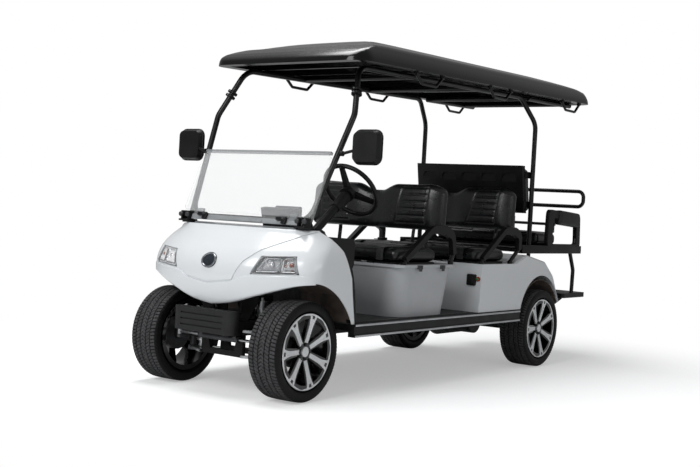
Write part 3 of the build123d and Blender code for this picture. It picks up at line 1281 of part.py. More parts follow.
REAR_BACK_LOW = 1035.0
REAR_BACK_HIGH = 1358.0
REAR_BACK_HALF_WIDTH = REAR_POST_Y - STRUT_RADIUS - 6
SHELL_SHEET = 40.0
with BuildPart() as rear_back_shell:
    with BuildSketch(Plane.XZ.offset(REAR_BACK_HALF_WIDTH)) as side_view:
        with BuildLine():
            Polyline((rx(-78), REAR_BACK_HIGH), (rx(-78 + SHELL_SHEET), REAR_BACK_HIGH), (rx(-20 + SHELL_SHEET), REAR_BACK_LOW), (rx(-20), REAR_BACK_LOW), close=True)
        make_face()
    extrude(amount=-2 * REAR_BACK_HALF_WIDTH)
    for hollow_y in (-320, -160, 0, 160, 320):
        with BuildSketch(Plane.YZ.offset(rx(-100))):
            with Locations((hollow_y, (REAR_BACK_LOW + REAR_BACK_HIGH) / 2)):
                RectangleRounded(112, 210, 26)
        extrude(amount=-42, mode=Mode.SUBTRACT)
    # ears bolted to the roof's rear posts
    for side in (1, -1):
        with BuildSketch(Plane.XZ.offset(-side * (REAR_BACK_HALF_WIDTH - 8))):
            for ear_z in (REAR_BACK_LOW + 60, REAR_BACK_HIGH - 60):
                with Locations(((rx(-34) + rx(56)) / 2, ear_z)):
                    Rectangle(90, 44)
        extrude(amount=-side * (REAR_POST_Y - STRUT_RADIUS - SEAT_GAP - REAR_BACK_HALF_WIDTH + 8))
save(rear_back_shell.part, "rear_back_shell")
with BuildPart() as rear_seat_back:
    with BuildSketch(Plane.XZ.offset(REAR_BACK_HALF_WIDTH - 10)):
        with BuildLine():
            Polyline(
                (rx(-78 + SHELL_SHEET) - 1, REAR_BACK_HIGH - 14),
                (rx(60), REAR_BACK_HIGH - 30),
                (rx(112), REAR_BACK_LOW + 20),
                (rx(-20 + SHELL_SHEET) - 1, REAR_BACK_LOW + 10),
                close=True,
            )
        make_face()
    extrude(amount=-2 * (REAR_BACK_HALF_WIDTH - 10))
    add(rear_back_shell.part, mode=Mode.SUBTRACT)
    fillet(rear_seat_back.edges().filter_by(Axis.Y).group_by(Axis.X)[0], radius=20)
save(rear_seat_back.part, "rear_seat_back")

# ---------------------------------------------------------------- foot platform, grab bar
PLATFORM_TOP = STRUT_FOOT_Z
PLATFORM_FRONT = 566.0
PLATFORM_HALF_WIDTH = 480.0
PLATFORM_RIB = 20.0
with BuildPart() as foot_platform:
    with BuildSketch(Plane.XY.offset(PLATFORM_TOP - 34)):
        with Locations(((rx(PLATFORM_FRONT) + rx(REAR_OVERHANG)) / 2, 0)):
            RectangleRounded(REAR_OVERHANG - PLATFORM_FRONT, 2 * PLATFORM_HALF_WIDTH, 24)
    extrude(amount=34)
    with BuildSketch(Plane.XY.offset(PLATFORM_TOP - 6)):
        for stripe in range(6):
            with Locations((rx(PLATFORM_FRONT + 60 + stripe * 44), 0)):
                SlotOverall(700, 18, rotation=90)
    extrude(amount=10, mode=Mode.SUBTRACT)
    # arms that carry the platform from the ends of the chassis rails
    for side in (1, -1):
        with BuildSketch(Plane.XZ.offset(-side * rail_low)):
            with BuildLine():
                Polyline(
                    (REAR_RAIL_END, RAIL_BOTTOM),
                    (REAR_RAIL_END, RAIL_TOP + 12),
                    (rx(PLATFORM_FRONT + 8), PLATFORM_TOP - 34),
                    (rx(REAR_OVERHANG - 60), PLATFORM_TOP - 34),
                    (rx(REAR_OVERHANG - 60), PLATFORM_TOP - 60),
                    close=True,
                )
            make_face()
        extrude(amount=-side * RAIL_WIDTH)
save(foot_platform.part, "foot_platform")

BAR_HIGH = 1225.0
BAR_LOW = 1110.0
BAR_HALF_WIDTH = 430.0
with BuildPart() as grab_bar:
    hoop = [
        (GRAB_BAR_X, 0, BAR_HIGH),
        (GRAB_BAR_X, BAR_HALF_WIDTH, BAR_HIGH),
        (GRAB_BAR_X, BAR_HALF_WIDTH, BAR_LOW),
        (GRAB_BAR_X, 0, BAR_LOW),
    ]
    add(tube(hoop, HANDLE_RADIUS, 45))
    mirror(about=Plane.XZ)
    add(rod((GRAB_BAR_X, 0, PLATFORM_TOP + SEAT_GAP), (GRAB_BAR_X, 0, BAR_HIGH), HANDLE_RADIUS + 1))
    add(rod((GRAB_BAR_X, -210, 967), (GRAB_BAR_X, 210, 967), 11))
    with BuildSketch(Plane.YZ.offset(GRAB_BAR_X - HANDLE_RADIUS)):
        with Locations((-170, 960), (170, 960)):
            RectangleRounded(60, 120, 10)
    extrude(amount=2 * HANDLE_RADIUS)
save(grab_bar.part, "rear_grab_bar")

# ---------------------------------------------------------------- tail lamps, mirrors
LAMP_SLOPE_TOP = Vector(fx(WHEELBASE + 160), 0, 640)
LAMP_SLOPE_END = Vector(fx(WHEELBASE + 282), 0, 440)
slope_run = (LAMP_SLOPE_END - LAMP_SLOPE_TOP).normalized()
slope_normal = Vector(slope_run.Z, 0, -slope_run.X)
with BuildPart() as tail_lamp:
    with BuildSketch(Plane(origin=LAMP_SLOPE_TOP + slope_run * 90 + Vector(0, 480, 0) + slope_normal * SEAT_GAP, x_dir=(0, 1, 0), z_dir=slope_normal)):
        RectangleRounded(120, 70, 18)
    extrude(amount=24, taper=12)
save(both_sides(tail_lamp.part), "tail_lamps")

MIRROR_CENTRE = (fx(262), 628, 1322)
MIRROR_CLAMP_Z = 1288.0
with BuildPart() as mirror_head:
    with BuildSketch(Plane(origin=MIRROR_CENTRE, x_dir=(0, 1, 0), z_dir=(1, 0, 0))):
        RectangleRounded(182, 186, 44)
    extrude(amount=34, taper=24)
    share = (MIRROR_CLAMP_Z - FRONT_STRUT_FOOT[2]) / (FRONT_STRUT_BEND[2] - FRONT_STRUT_FOOT[2])
    clamp_out = Vector(0, strut_run.Z, -strut_run.Y).normalized()
    clamp = Vector(*FRONT_STRUT_FOOT) + strut_run * share + clamp_out * (STRUT_RADIUS + SEAT_GAP)
    add(rod((fx(262) + 12, 628, 1322), clamp + clamp_out * 10, 8))
    with BuildSketch(Plane(origin=clamp, x_dir=(1, 0, 0), z_dir=clamp_out)):
        Circle(14)
    extrude(amount=16)
save(both_sides(mirror_head.part), "mirrors")
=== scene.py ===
"""Looks of the six-seat golf cart: finishes for the CAD nodes and the pieces that CAD leaves plain."""

import math

import bmesh
import bpy
import numpy as np
from mathutils import Matrix, Vector


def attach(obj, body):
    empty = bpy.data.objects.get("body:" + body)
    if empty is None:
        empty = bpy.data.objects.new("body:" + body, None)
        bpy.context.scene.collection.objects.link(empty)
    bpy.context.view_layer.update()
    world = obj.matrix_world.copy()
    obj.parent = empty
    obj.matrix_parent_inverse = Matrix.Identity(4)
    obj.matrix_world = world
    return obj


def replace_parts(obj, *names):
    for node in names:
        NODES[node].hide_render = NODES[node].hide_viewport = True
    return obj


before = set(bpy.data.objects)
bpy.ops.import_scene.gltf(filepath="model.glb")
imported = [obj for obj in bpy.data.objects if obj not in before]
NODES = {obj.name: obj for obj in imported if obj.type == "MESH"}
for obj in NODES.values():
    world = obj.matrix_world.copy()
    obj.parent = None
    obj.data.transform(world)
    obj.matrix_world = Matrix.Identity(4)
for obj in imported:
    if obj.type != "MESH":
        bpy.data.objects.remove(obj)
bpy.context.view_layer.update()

FRONT_AXLE = 1.565
REAR_AXLE = -0.885
TYRE_RADIUS = 0.260
WHEELS = [  # name, axle x, middle y, outward
    ("front_left", FRONT_AXLE, 0.418, 1),
    ("front_right", FRONT_AXLE, -0.418, -1),
    ("rear_left", REAR_AXLE, 0.505, 1),
    ("rear_right", REAR_AXLE, -0.505, -1),
]


def fx(behind):
    """X of a station given in millimetres behind the front axle."""
    return FRONT_AXLE - behind / 1000


def rx(behind):
    """X of a station given in millimetres behind the rear axle."""
    return REAR_AXLE - behind / 1000


# ---------------------------------------------------------------- materials


def colour(code):
    """An sRGB hex value as linear RGBA: c / 12.92 below 0.04045, else ((c + 0.055) / 1.055) ** 2.4."""
    value = np.array([int(code[i : i + 2], 16) for i in (1, 3, 5)]) / 255
    linear = np.where(value <= 0.04045, value / 12.92, ((value + 0.055) / 1.055) ** 2.4)
    return (*linear.tolist(), 1.0)


def put(tree, kind, inputs=(), **settings):
    """Adds one node: settings are its own properties, inputs its sockets as values or other nodes'
    outputs."""
    node = tree.nodes.new(kind)
    for name, value in settings.items():
        setattr(node, name, value)
    for name, value in dict(inputs).items():
        if isinstance(value, bpy.types.NodeSocket):
            tree.links.new(value, node.inputs[name])
        else:
            node.inputs[name].default_value = value
    return node


def blank(name):
    """An empty material, its tree and the object's own coordinates in metres."""
    material = bpy.data.materials.new(name)
    material.use_nodes = True
    material.node_tree.nodes.clear()
    return material, material.node_tree, put(material.node_tree, "ShaderNodeTexCoord").outputs["Object"]


def finish(
    name, base, worn, roughness, metallic=0.0, *, grain, relief, patch, cells=False, spread=0.08, **shader
):
    """A surface of two near colours in soft patches with a fine relief; grain, relief and patch in
    millimetres. colour = mix(base, worn, noise(p / patch)), height = relief * pattern(p / grain), and the
    roughness goes spread below and above its value with the same patches. A grain finer than about 1 mm, as
    of plating or machining, is drawn that coarse so that it shows. Further names are the shader's own
    sockets."""
    material, tree, place = blank(name)
    clouds = {"Vector": place, "Scale": 1000 / patch, "Detail": 5.0, "Roughness": 0.6}
    patches = put(tree, "ShaderNodeTexNoise", clouds).outputs["Fac"]
    ramp = put(tree, "ShaderNodeMapRange", {"Value": patches, "From Min": 0.35, "From Max": 0.7})
    shades = {0: ramp.outputs["Result"], 6: colour(base), 7: colour(worn)}
    tint = put(tree, "ShaderNodeMix", shades, data_type="RGBA")
    rough = put(tree, "ShaderNodeMapRange", {
        "Value": patches, "From Min": 0.3, "From Max": 0.75,
        "To Min": max(roughness - spread, 0.02), "To Max": roughness + spread,
    })
    size = {"Vector": place, "Scale": 1000 / grain}
    if cells:
        pattern = put(tree, "ShaderNodeTexVoronoi", size, feature="SMOOTH_F1").outputs["Distance"]
    else:
        pattern = put(tree, "ShaderNodeTexNoise", {**size, "Detail": 3.0}).outputs["Fac"]
    bump = put(tree, "ShaderNodeBump", {"Height": pattern, "Distance": relief / 1000, "Strength": 1.0})
    surface = put(tree, "ShaderNodeBsdfPrincipled", {
        "Base Color": tint.outputs[2], "Roughness": rough.outputs["Result"], "Metallic": metallic,
        "Normal": bump.outputs["Normal"], **{key.replace("_", " "): value for key, value in shader.items()},
    })
    put(tree, "ShaderNodeOutputMaterial", {"Surface": surface.outputs["BSDF"]})
    return material


# gel-coated white moulding: a smooth wet gloss with a faint ripple
WHITE = finish(
    "gelcoat_white_gloss", "#DBDEE1", "#D6DADD", 0.2, grain=9, relief=0.02, patch=900, spread=0.03,
    Coat_Weight=0.5, Coat_Roughness=0.05,
)
# pale grey polypropylene of the seat base, blasted mould, made darker as painted shade from the seats over
# it: a dull even face with fine pits
GREY = finish(
    "polypropylene_grey_painted_shade", "#B2B5B8", "#A8ABAF", 0.5, grain=1.2, relief=0.05, patch=300, cells=True
)
# black ABS roof, thermoformed and polished: dark gloss with slow waves
ROOF = finish(
    "abs_black_thermoformed", "#050506", "#080809", 0.2, grain=30, relief=0.03, patch=700, spread=0.05,
    Specular_IOR_Level=0.28, Coat_Weight=0.12, Coat_Roughness=0.1,
)
# black polypropylene with a moulded grain: satin, slightly grey where light grazes
PLASTIC = finish(
    "polypropylene_black_grained", "#08080A", "#0E0E10", 0.46, grain=1.4, relief=0.09, patch=120, cells=True,
    Specular_IOR_Level=0.28,
)
# ribbed black bumper rubber: duller than the plastic, with a brushed tooth
BUMPER = finish(
    "rubber_black_bumper", "#111112", "#191A1B", 0.5, grain=1.8, relief=0.18, patch=60,
    Specular_IOR_Level=0.35,
)
# powder-coated steel tube: black with fine orange peel
TUBE = finish(
    "steel_black_powder_coated", "#060607", "#0A0A0B", 0.32, grain=2.2, relief=0.03, patch=200, spread=0.06,
    Specular_IOR_Level=0.35, Coat_Weight=0.15, Coat_Roughness=0.2,
)
# chassis paint: flat black with road dust
CHASSIS = finish(
    "steel_black_chassis_paint", "#0C0C0D", "#181716", 0.55, grain=2.5, relief=0.06, patch=90,
    Specular_IOR_Level=0.25,
)
# zinc-plated steel: pale grey metal, cloudy
ZINC = finish("steel_zinc_plated", "#B9BBBC", "#8E9092", 0.32, 1.0, grain=1.0, relief=0.02, patch=40)
# cast and machined drive parts: dark grey, rough skin
CASTING = finish("iron_cast_painted", "#3A3B3D", "#505153", 0.55, 0.5, grain=2.0, relief=0.12, patch=60)
# vacuum-formed arch liner: brown-grey with dried dust
LINER = finish(
    "polyethylene_liner_dusty", "#3B332E", "#5C5048", 0.7, grain=3.0, relief=0.15, patch=70, spread=0.12
)
# flooded lead-acid battery case: dark blue-grey, satin
BATTERY = finish("polypropylene_battery_case", "#23262E", "#2C3038", 0.4, grain=1.5, relief=0.05, patch=120)
# anodised aluminium strip, satin: pale silver with a broad, dull shine
ALLOY_STRIP = finish(
    "aluminium_satin_strip", "#C4C6C8", "#AEB0B3", 0.34, 1.0, grain=0.8, relief=0.01, patch=80
)
# chrome-plated plastic: a clear mirror
CHROME = finish(
    "plastic_chrome_plated", "#D8DADC", "#C9CBCE", 0.07, 1.0, grain=6, relief=0.004, patch=60, spread=0.02
)
# machined, clear-lacquered wheel faces: bright satin metal
ALLOY = finish(
    "aluminium_machined_lacquered", "#E6E8EA", "#D8DADC", 0.36, 0.55, grain=0.9, relief=0.012, patch=50,
    spread=0.06,
)
# gloss black wheel paint in the pockets: dark, with sharp highlights
WHEEL_PAINT = finish(
    "aluminium_gloss_black_paint", "#0B0B0C", "#121213", 0.16, 0.2, grain=4, relief=0.02, patch=70,
    spread=0.05, Coat_Weight=0.6, Coat_Roughness=0.05,
)
# moulded lamp plastics, red and amber: deep colour under gloss, with fine prisms
RED_LENS = finish(
    "acrylic_red_lens", "#A3120E", "#8C0E0B", 0.12, grain=3.0, relief=0.12, patch=40, cells=True, spread=0.04,
    Coat_Weight=0.5,
)
AMBER = finish("acrylic_amber_bulb", "#8A4A36", "#74382A", 0.2, grain=3.0, relief=0.1, patch=20, cells=True)
# woven belt webbing: dull black with raised threads
WEBBING = finish(
    "polyester_webbing_black", "#131415", "#1B1C1D", 0.72, grain=1.1, relief=0.22, patch=30, Sheen_Weight=0.15
)
# silvered glass of the mirrors: a sharp, pale reflection
MIRROR = finish(
    "glass_silvered", "#DDE1E4", "#D4D9DC", 0.03, 1.0, grain=40, relief=0.003, patch=200, spread=0.01
)
# moulded nylon push button: even satin green
GREEN = finish("nylon_green_button", "#1E7A46", "#1A6B3D", 0.35, grain=1.0, relief=0.02, patch=20)
# dark glass of the display: black under a sharp gloss
SCREEN = finish(
    "glass_dark_display", "#0A0E12", "#10151A", 0.06, grain=30, relief=0.004, patch=60, spread=0.02,
    Coat_Weight=0.5,
)
# moulded grey reflector housing: satin mid grey
LAMP_GREY = finish("polycarbonate_grey_housing", "#8A8D90", "#7C7F82", 0.28, grain=2.0, relief=0.02, patch=60)
# the badge: a rim of chrome that reflects softly and dark, and a glossy slate enamel field
CHROME_DARK = finish(
    "plastic_chrome_shaded", "#A9AEB3", "#9BA0A5", 0.16, 0.9, grain=6, relief=0.004, patch=40, spread=0.03
)
BADGE = finish(
    "enamel_slate_field", "#2C343C", "#252C33", 0.14, 0.3, grain=5, relief=0.01, patch=30, spread=0.03
)
# extruded grey seal strip along the windscreen: soft and matt
TRIM_GREY = finish("pvc_grey_seal", "#8C8F91", "#7D8082", 0.5, grain=1.2, relief=0.03, patch=80)
# integral-skin foam: matt black, finely pitted
FOAM = finish(
    "polyurethane_skinned_foam", "#0D0D0E", "#161617", 0.55, grain=1.3, relief=0.12, patch=60, cells=True
)


def vinyl():
    """Upholstery vinyl, embossed: rounded leather cells about 2 mm across, fine creases, a soft polished
    gloss."""
    material, tree, place = blank("vinyl_black_embossed")
    cells = put(tree, "ShaderNodeTexVoronoi", {"Vector": place, "Scale": 480.0}, feature="SMOOTH_F1")
    creases = put(tree, "ShaderNodeTexNoise", {
        "Vector": place, "Scale": 34.0, "Detail": 6.0, "Roughness": 0.62, "Distortion": 0.8,
    })
    wear = put(tree, "ShaderNodeTexNoise", {"Vector": place, "Scale": 7.0, "Detail": 3.0})
    shades = {0: wear.outputs["Fac"], 6: colour("#0C0D0E"), 7: colour("#151618")}
    tint = put(tree, "ShaderNodeMix", shades, data_type="RGBA")
    rough = put(tree, "ShaderNodeMapRange", {
        "Value": creases.outputs["Fac"], "From Min": 0.3, "From Max": 0.7, "To Min": 0.24, "To Max": 0.4,
    })
    pores = {"Height": cells.outputs["Distance"], "Distance": 0.00012, "Strength": 0.8}
    fine = put(tree, "ShaderNodeBump", pores).outputs["Normal"]
    folds = put(tree, "ShaderNodeBump", {
        "Height": creases.outputs["Fac"], "Distance": 0.0016, "Strength": 0.5, "Normal": fine,
    })
    surface = put(tree, "ShaderNodeBsdfPrincipled", {
        "Base Color": tint.outputs[2], "Roughness": rough.outputs["Result"],
        "Normal": folds.outputs["Normal"],
        "IOR": 1.5, "Specular IOR Level": 0.45, "Coat Weight": 0.12, "Coat Roughness": 0.28,
    })
    put(tree, "ShaderNodeOutputMaterial", {"Surface": surface.outputs["BSDF"]})
    return material


def acrylic(name, tint, haze, veil):
    """Clear sheet: straight-through light, a faint white veil of surface scratches, and gloss at grazing
    angles. share of gloss = veil + (0.75 - veil) * fresnel; every face adds its own veil."""
    material, tree, place = blank(name)
    dust = put(tree, "ShaderNodeTexNoise", {"Vector": place, "Scale": 6.0, "Detail": 4.0})
    haziness = {"Value": dust.outputs["Fac"], "To Min": haze, "To Max": haze + 0.05}
    rough = put(tree, "ShaderNodeMapRange", haziness)
    gloss = put(tree, "ShaderNodeBsdfPrincipled", {
        "Base Color": colour(tint), "Roughness": rough.outputs["Result"], "IOR": 1.49,
    })
    through = put(tree, "ShaderNodeBsdfTransparent", {"Color": colour("#FFFFFF")})
    rim = put(tree, "ShaderNodeLayerWeight", {"Blend": 0.2})
    share = put(tree, "ShaderNodeMapRange", {
        "Value": rim.outputs["Fresnel"], "From Min": 0.04, "To Min": veil, "To Max": 0.75,
    })
    mixed = put(tree, "ShaderNodeMixShader", {
        0: share.outputs["Result"], 1: through.outputs["BSDF"], 2: gloss.outputs["BSDF"],
    })
    put(tree, "ShaderNodeOutputMaterial", {"Surface": mixed.outputs["Shader"]})
    return material


def tyre_rubber():
    """Vulcanised rubber: matt black tread greyed by use, finer and darker on the sidewalls."""
    material, tree, place = blank("rubber_tyre_vulcanised")
    scuff = put(tree, "ShaderNodeTexNoise", {"Vector": place, "Scale": 30.0, "Detail": 6.0, "Roughness": 0.7})
    grain = put(tree, "ShaderNodeTexNoise", {"Vector": place, "Scale": 900.0, "Detail": 2.0})
    worn = put(tree, "ShaderNodeAttribute", attribute_name="tread")
    scuffed = {0: scuff.outputs["Fac"], 1: worn.outputs["Fac"]}
    mask = put(tree, "ShaderNodeMath", scuffed, operation="MULTIPLY")
    shades = {0: mask.outputs["Value"], 6: colour("#060607"), 7: colour("#58585A")}
    tint = put(tree, "ShaderNodeMix", shades, data_type="RGBA")
    rough = put(tree, "ShaderNodeMapRange", {"Value": worn.outputs["Fac"], "To Min": 0.55, "To Max": 0.8})
    bump = put(tree, "ShaderNodeBump", {"Height": grain.outputs["Fac"], "Distance": 0.0001, "Strength": 0.7})
    surface = put(tree, "ShaderNodeBsdfPrincipled", {
        "Base Color": tint.outputs[2], "Roughness": rough.outputs["Result"], "Normal": bump.outputs["Normal"],
        "IOR": 1.52, "Specular IOR Level": 0.22,
    })
    put(tree, "ShaderNodeOutputMaterial", {"Surface": surface.outputs["BSDF"]})
    return material


def floor_mat():
    """Ribbed rubber mat: ridges along the cart, dull, with dust between them. A sine wave of scale s repeats
    every 2 pi / (20 s) metres, so s = 2 pi / (20 * pitch)."""
    pitch = 0.024  # as coarse as it needs to be to show
    material, tree, place = blank("rubber_mat_ribbed")
    wave = {"Vector": place, "Scale": 2 * math.pi / 20 / pitch, "Distortion": 0.0}
    ribs = put(tree, "ShaderNodeTexWave", wave, bands_direction="Y", wave_profile="SIN")
    dust = put(tree, "ShaderNodeTexNoise", {"Vector": place, "Scale": 14.0, "Detail": 6.0, "Roughness": 0.7})
    shades = {0: dust.outputs["Fac"], 6: colour("#161717"), 7: colour("#3B3C3D")}
    tint = put(tree, "ShaderNodeMix", shades, data_type="RGBA")
    bump = put(tree, "ShaderNodeBump", {"Height": ribs.outputs["Fac"], "Distance": 0.0015, "Strength": 0.7})
    surface = put(tree, "ShaderNodeBsdfPrincipled", {
        "Base Color": tint.outputs[2], "Roughness": 0.6, "Normal": bump.outputs["Normal"],
    })
    put(tree, "ShaderNodeOutputMaterial", {"Surface": surface.outputs["BSDF"]})
    return material


VINYL = vinyl()
# clear screen panes with a faint veil, the milky grey strip on their hinge, and the lamps' clear covers
ACRYLIC = acrylic("acrylic_clear_sheet", "#F2F4F5", 0.04, 0.10)
SMOKED = acrylic("pvc_grey_translucent", "#8E9294", 0.15, 0.60)
LENS = acrylic("polycarbonate_clear_lens", "#FAFBFC", 0.03, 0.05)
TYRE = tyre_rubber()
MAT = floor_mat()

CAD_FINISH = {
    CHASSIS: ["chassis_frame", "front_cradle", "rear_springs", "pedals"],
    BUMPER: ["front_bumper"],
    ZINC: ["front_arms", "front_coil_overs", "tie_rods", "seat_lid_hinges"],
    CASTING: ["steering_rack", "rear_axle", "drive_motor", "knuckle_left", "knuckle_right"],
    MAT: ["floor"],
    PLASTIC: [
        "sills", "dashboard", "steering_column", "rear_back_shell", "foot_platform", "mirrors",
        "steering_wheel", "front_seat_board", "second_seat_board", "rear_seat_board",
    ],
    BATTERY: ["battery_pack"],
    WHITE: ["front_body", "hood_panel", "rear_body"],
    # the seat base's grey holds painted shade from the seats above it
    GREY: ["front_seat_base"],
    LINER: ["wheel_liners"],
    TUBE: [
        "front_roof_struts", "rear_roof_struts", "roof_handles", "seat_back_frames", "armrests",
        "rear_seat_frame", "rear_grab_bar",
    ],
    ROOF: ["roof", "roof_ribs"],
    ACRYLIC: ["windscreen_lower", "windscreen_upper"],
    SMOKED: ["windscreen_fittings"],
    RED_LENS: ["tail_lamps"],
    WHEEL_PAINT: [f"rim_{wheel[0]}" for wheel in WHEELS],
    VINYL: [f"{row}_seat_{part}" for part in ("cushion", "back") for row in ("front", "second", "rear")],
    TYRE: [f"tyre_{wheel[0]}" for wheel in WHEELS],
    LENS: ["headlamps"],
}
for material, names in CAD_FINISH.items():
    for name in names:
        NODES[name].data.materials.clear()
        NODES[name].data.materials.append(material)

# ---------------------------------------------------------------- surfaces


def quads(rows, columns, wrap_rows=False, wrap_columns=False):
    """Quad indices of a grid numbered row by row; a wrapped direction joins its last line to its first."""
    row = np.arange(rows if wrap_rows else rows - 1)
    column = np.arange(columns if wrap_columns else columns - 1)
    r, c = np.meshgrid(row, column, indexing="ij")
    after_r, after_c = (r + 1) % rows, (c + 1) % columns
    corners = [r * columns + c, after_r * columns + c, after_r * columns + after_c, r * columns + after_c]
    return np.stack(corners, axis=-1).reshape(-1, 4)


SHARP_ANGLE = math.radians(38)


def make(name, parts, body, material, smooth=True, weld=0.0):
    """One object from several (points, list of face arrays); outward normals are worked out after welding,
    and a smooth piece keeps its edges sharper than 38 degrees."""
    points, loops, sizes, base = [], [], [], 0
    for part_points, part_faces in parts:
        part_points = np.asarray(part_points, float).reshape(-1, 3)
        for faces in part_faces:
            faces = np.atleast_2d(faces)
            loops.append((faces + base).ravel())
            sizes.append(np.full(len(faces), faces.shape[1]))
        points.append(part_points)
        base += len(part_points)
    points, loops, sizes = np.concatenate(points), np.concatenate(loops), np.concatenate(sizes)
    mesh = bpy.data.meshes.new(name)
    mesh.vertices.add(len(points))
    mesh.vertices.foreach_set("co", points.astype(np.float32).ravel())
    mesh.loops.add(len(loops))
    mesh.loops.foreach_set("vertex_index", loops.astype(np.int32))
    mesh.polygons.add(len(sizes))
    mesh.polygons.foreach_set("loop_start", np.concatenate([[0], np.cumsum(sizes)[:-1]]).astype(np.int32))
    mesh.update(calc_edges=True)
    mesh.validate()
    work = bmesh.new()
    work.from_mesh(mesh)
    if weld:
        bmesh.ops.remove_doubles(work, verts=work.verts, dist=weld)
    bmesh.ops.recalc_face_normals(work, faces=work.faces)
    work.to_mesh(mesh)
    work.free()
    mesh.polygons.foreach_set("use_smooth", np.full(len(mesh.polygons), smooth))
    if smooth:
        mesh.set_sharp_from_angle(angle=SHARP_ANGLE)
    made = bpy.data.objects.new(name, mesh)
    bpy.context.scene.collection.objects.link(made)
    mesh.materials.append(material)
    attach(made, body)
    return made


def rings(loops, capped=True, closed=False):
    """A skin over rings of points, (ring, point, xyz), with flat ends unless it closes on itself."""
    loops = np.asarray(loops, float)
    count, around = loops.shape[:2]
    faces = [quads(count, around, wrap_rows=closed, wrap_columns=True)]
    if capped and not closed:
        faces += [np.arange(around)[::-1], np.arange(around) + (count - 1) * around]
    return loops.reshape(-1, 3), faces


def rounded(width, height, radius, steps=4):
    """A rounded rectangle about the origin; a corner is centre + radius * (cos a, sin a), a quarter turn."""
    radius = min(radius, width / 2 - 1e-5, height / 2 - 1e-5)
    angle = np.linspace(0, math.pi / 2, steps + 1)
    cos, sin = np.cos(angle), np.sin(angle)
    x, y = width / 2 - radius, height / 2 - radius
    corners = [(cos, sin, x, y), (-sin, cos, -x, y), (-cos, -sin, -x, -y), (sin, -cos, x, -y)]
    return np.concatenate(
        [np.column_stack([a, b]) * radius + (middle_x, middle_y) for a, b, middle_x, middle_y in corners]
    )


def carried(path, section, up):
    """A section carried along a path: point = path_i + section_j.x * side_i + section_j.y * lift_i, where
    side = direction x up and lift = side x direction."""
    path, section = np.asarray(path, float), np.asarray(section, float)
    ahead = np.gradient(path, axis=0)
    ahead /= np.linalg.norm(ahead, axis=1)[:, None]
    side = np.cross(ahead, np.asarray(up, float))
    side /= np.linalg.norm(side, axis=1)[:, None]
    lift = np.cross(side, ahead)
    points = path[:, None] + section[None, :, :1] * side[:, None] + section[None, :, 1:] * lift[:, None]
    return rings(points)


def block(centre, size, corner, edge, axes=((1, 0, 0), (0, 1, 0), (0, 0, 1))):
    """A moulded block: rounded rectangles of size minus twice the inset, stacked along the third axis, where
    the inset follows a quarter circle of the edge radius at both ends."""
    turn = np.linspace(0, math.pi / 2, 4)
    inset, rise = edge * (1 - np.sin(turn)), edge * (1 - np.cos(turn))
    levels = list(zip(inset, rise)) + [(i, size[2] - r) for i, r in zip(inset[::-1], rise[::-1])]
    layers = []
    for inward, height in levels:
        outline = rounded(size[0] - 2 * inward, size[1] - 2 * inward, max(corner - inward, 0.0004))
        layers.append(np.column_stack([outline, np.full(len(outline), height - size[2] / 2)]))
    points = np.array(layers) @ np.array(axes, float) + np.array(centre, float)
    return rings(points)


def turned(profile, centre, axis, start=(1, 0, 0), steps=32):
    """A turned form: point = centre + along * axis + radius * (cos a * start + sin a * (axis x start))."""
    profile = np.asarray(profile, float)
    axis, start = np.asarray(axis, float), np.asarray(start, float)
    angle = np.linspace(0, 2 * math.pi, steps, endpoint=False)
    around = np.cos(angle)[:, None] * start + np.sin(angle)[:, None] * np.cross(axis, start)
    points = np.asarray(centre) + profile[:, None, 1:] * axis + profile[:, None, :1] * around[None]
    return rings(points)


def smooth_line(points, count):
    """Points spread evenly along a curve through the given ones, by Catmull-Rom interpolation."""
    points = np.asarray(points, float)
    padded = np.vstack([2 * points[0] - points[1], points, 2 * points[-1] - points[-2]])
    share = np.linspace(0, len(points) - 1 - 1e-9, count)
    index = share.astype(int)
    t = (share - index)[:, None]
    a, b, c, d = (padded[index + k] for k in range(4))
    return 0.5 * (2 * b + (c - a) * t + (2 * a - 5 * b + 4 * c - d) * t**2 + (3 * b - a - 3 * c + d) * t**3)


# ---------------------------------------------------------------- tyres


def band(value, width, soft):
    """1 inside a band of the given half width about 0, falling to 0 over soft."""
    return np.clip((width + soft - np.abs(value)) / soft, 0, 1)


BEAD_RADIUS = 0.1783
TREAD_HALF = 0.081
GROOVES = (-0.052, -0.020, 0.020, 0.052)
SIPES = 84
TYRE_STEPS = 600
SIDEWALL = [  # radius, distance from the middle, from the bead to the shoulder
    (BEAD_RADIUS, 0.0755), (0.200, 0.0755), (0.206, 0.086), (0.213, 0.0925),
    (0.227, 0.0945), (0.240, 0.0935), (0.250, 0.0900), (0.2565, 0.0845),
]


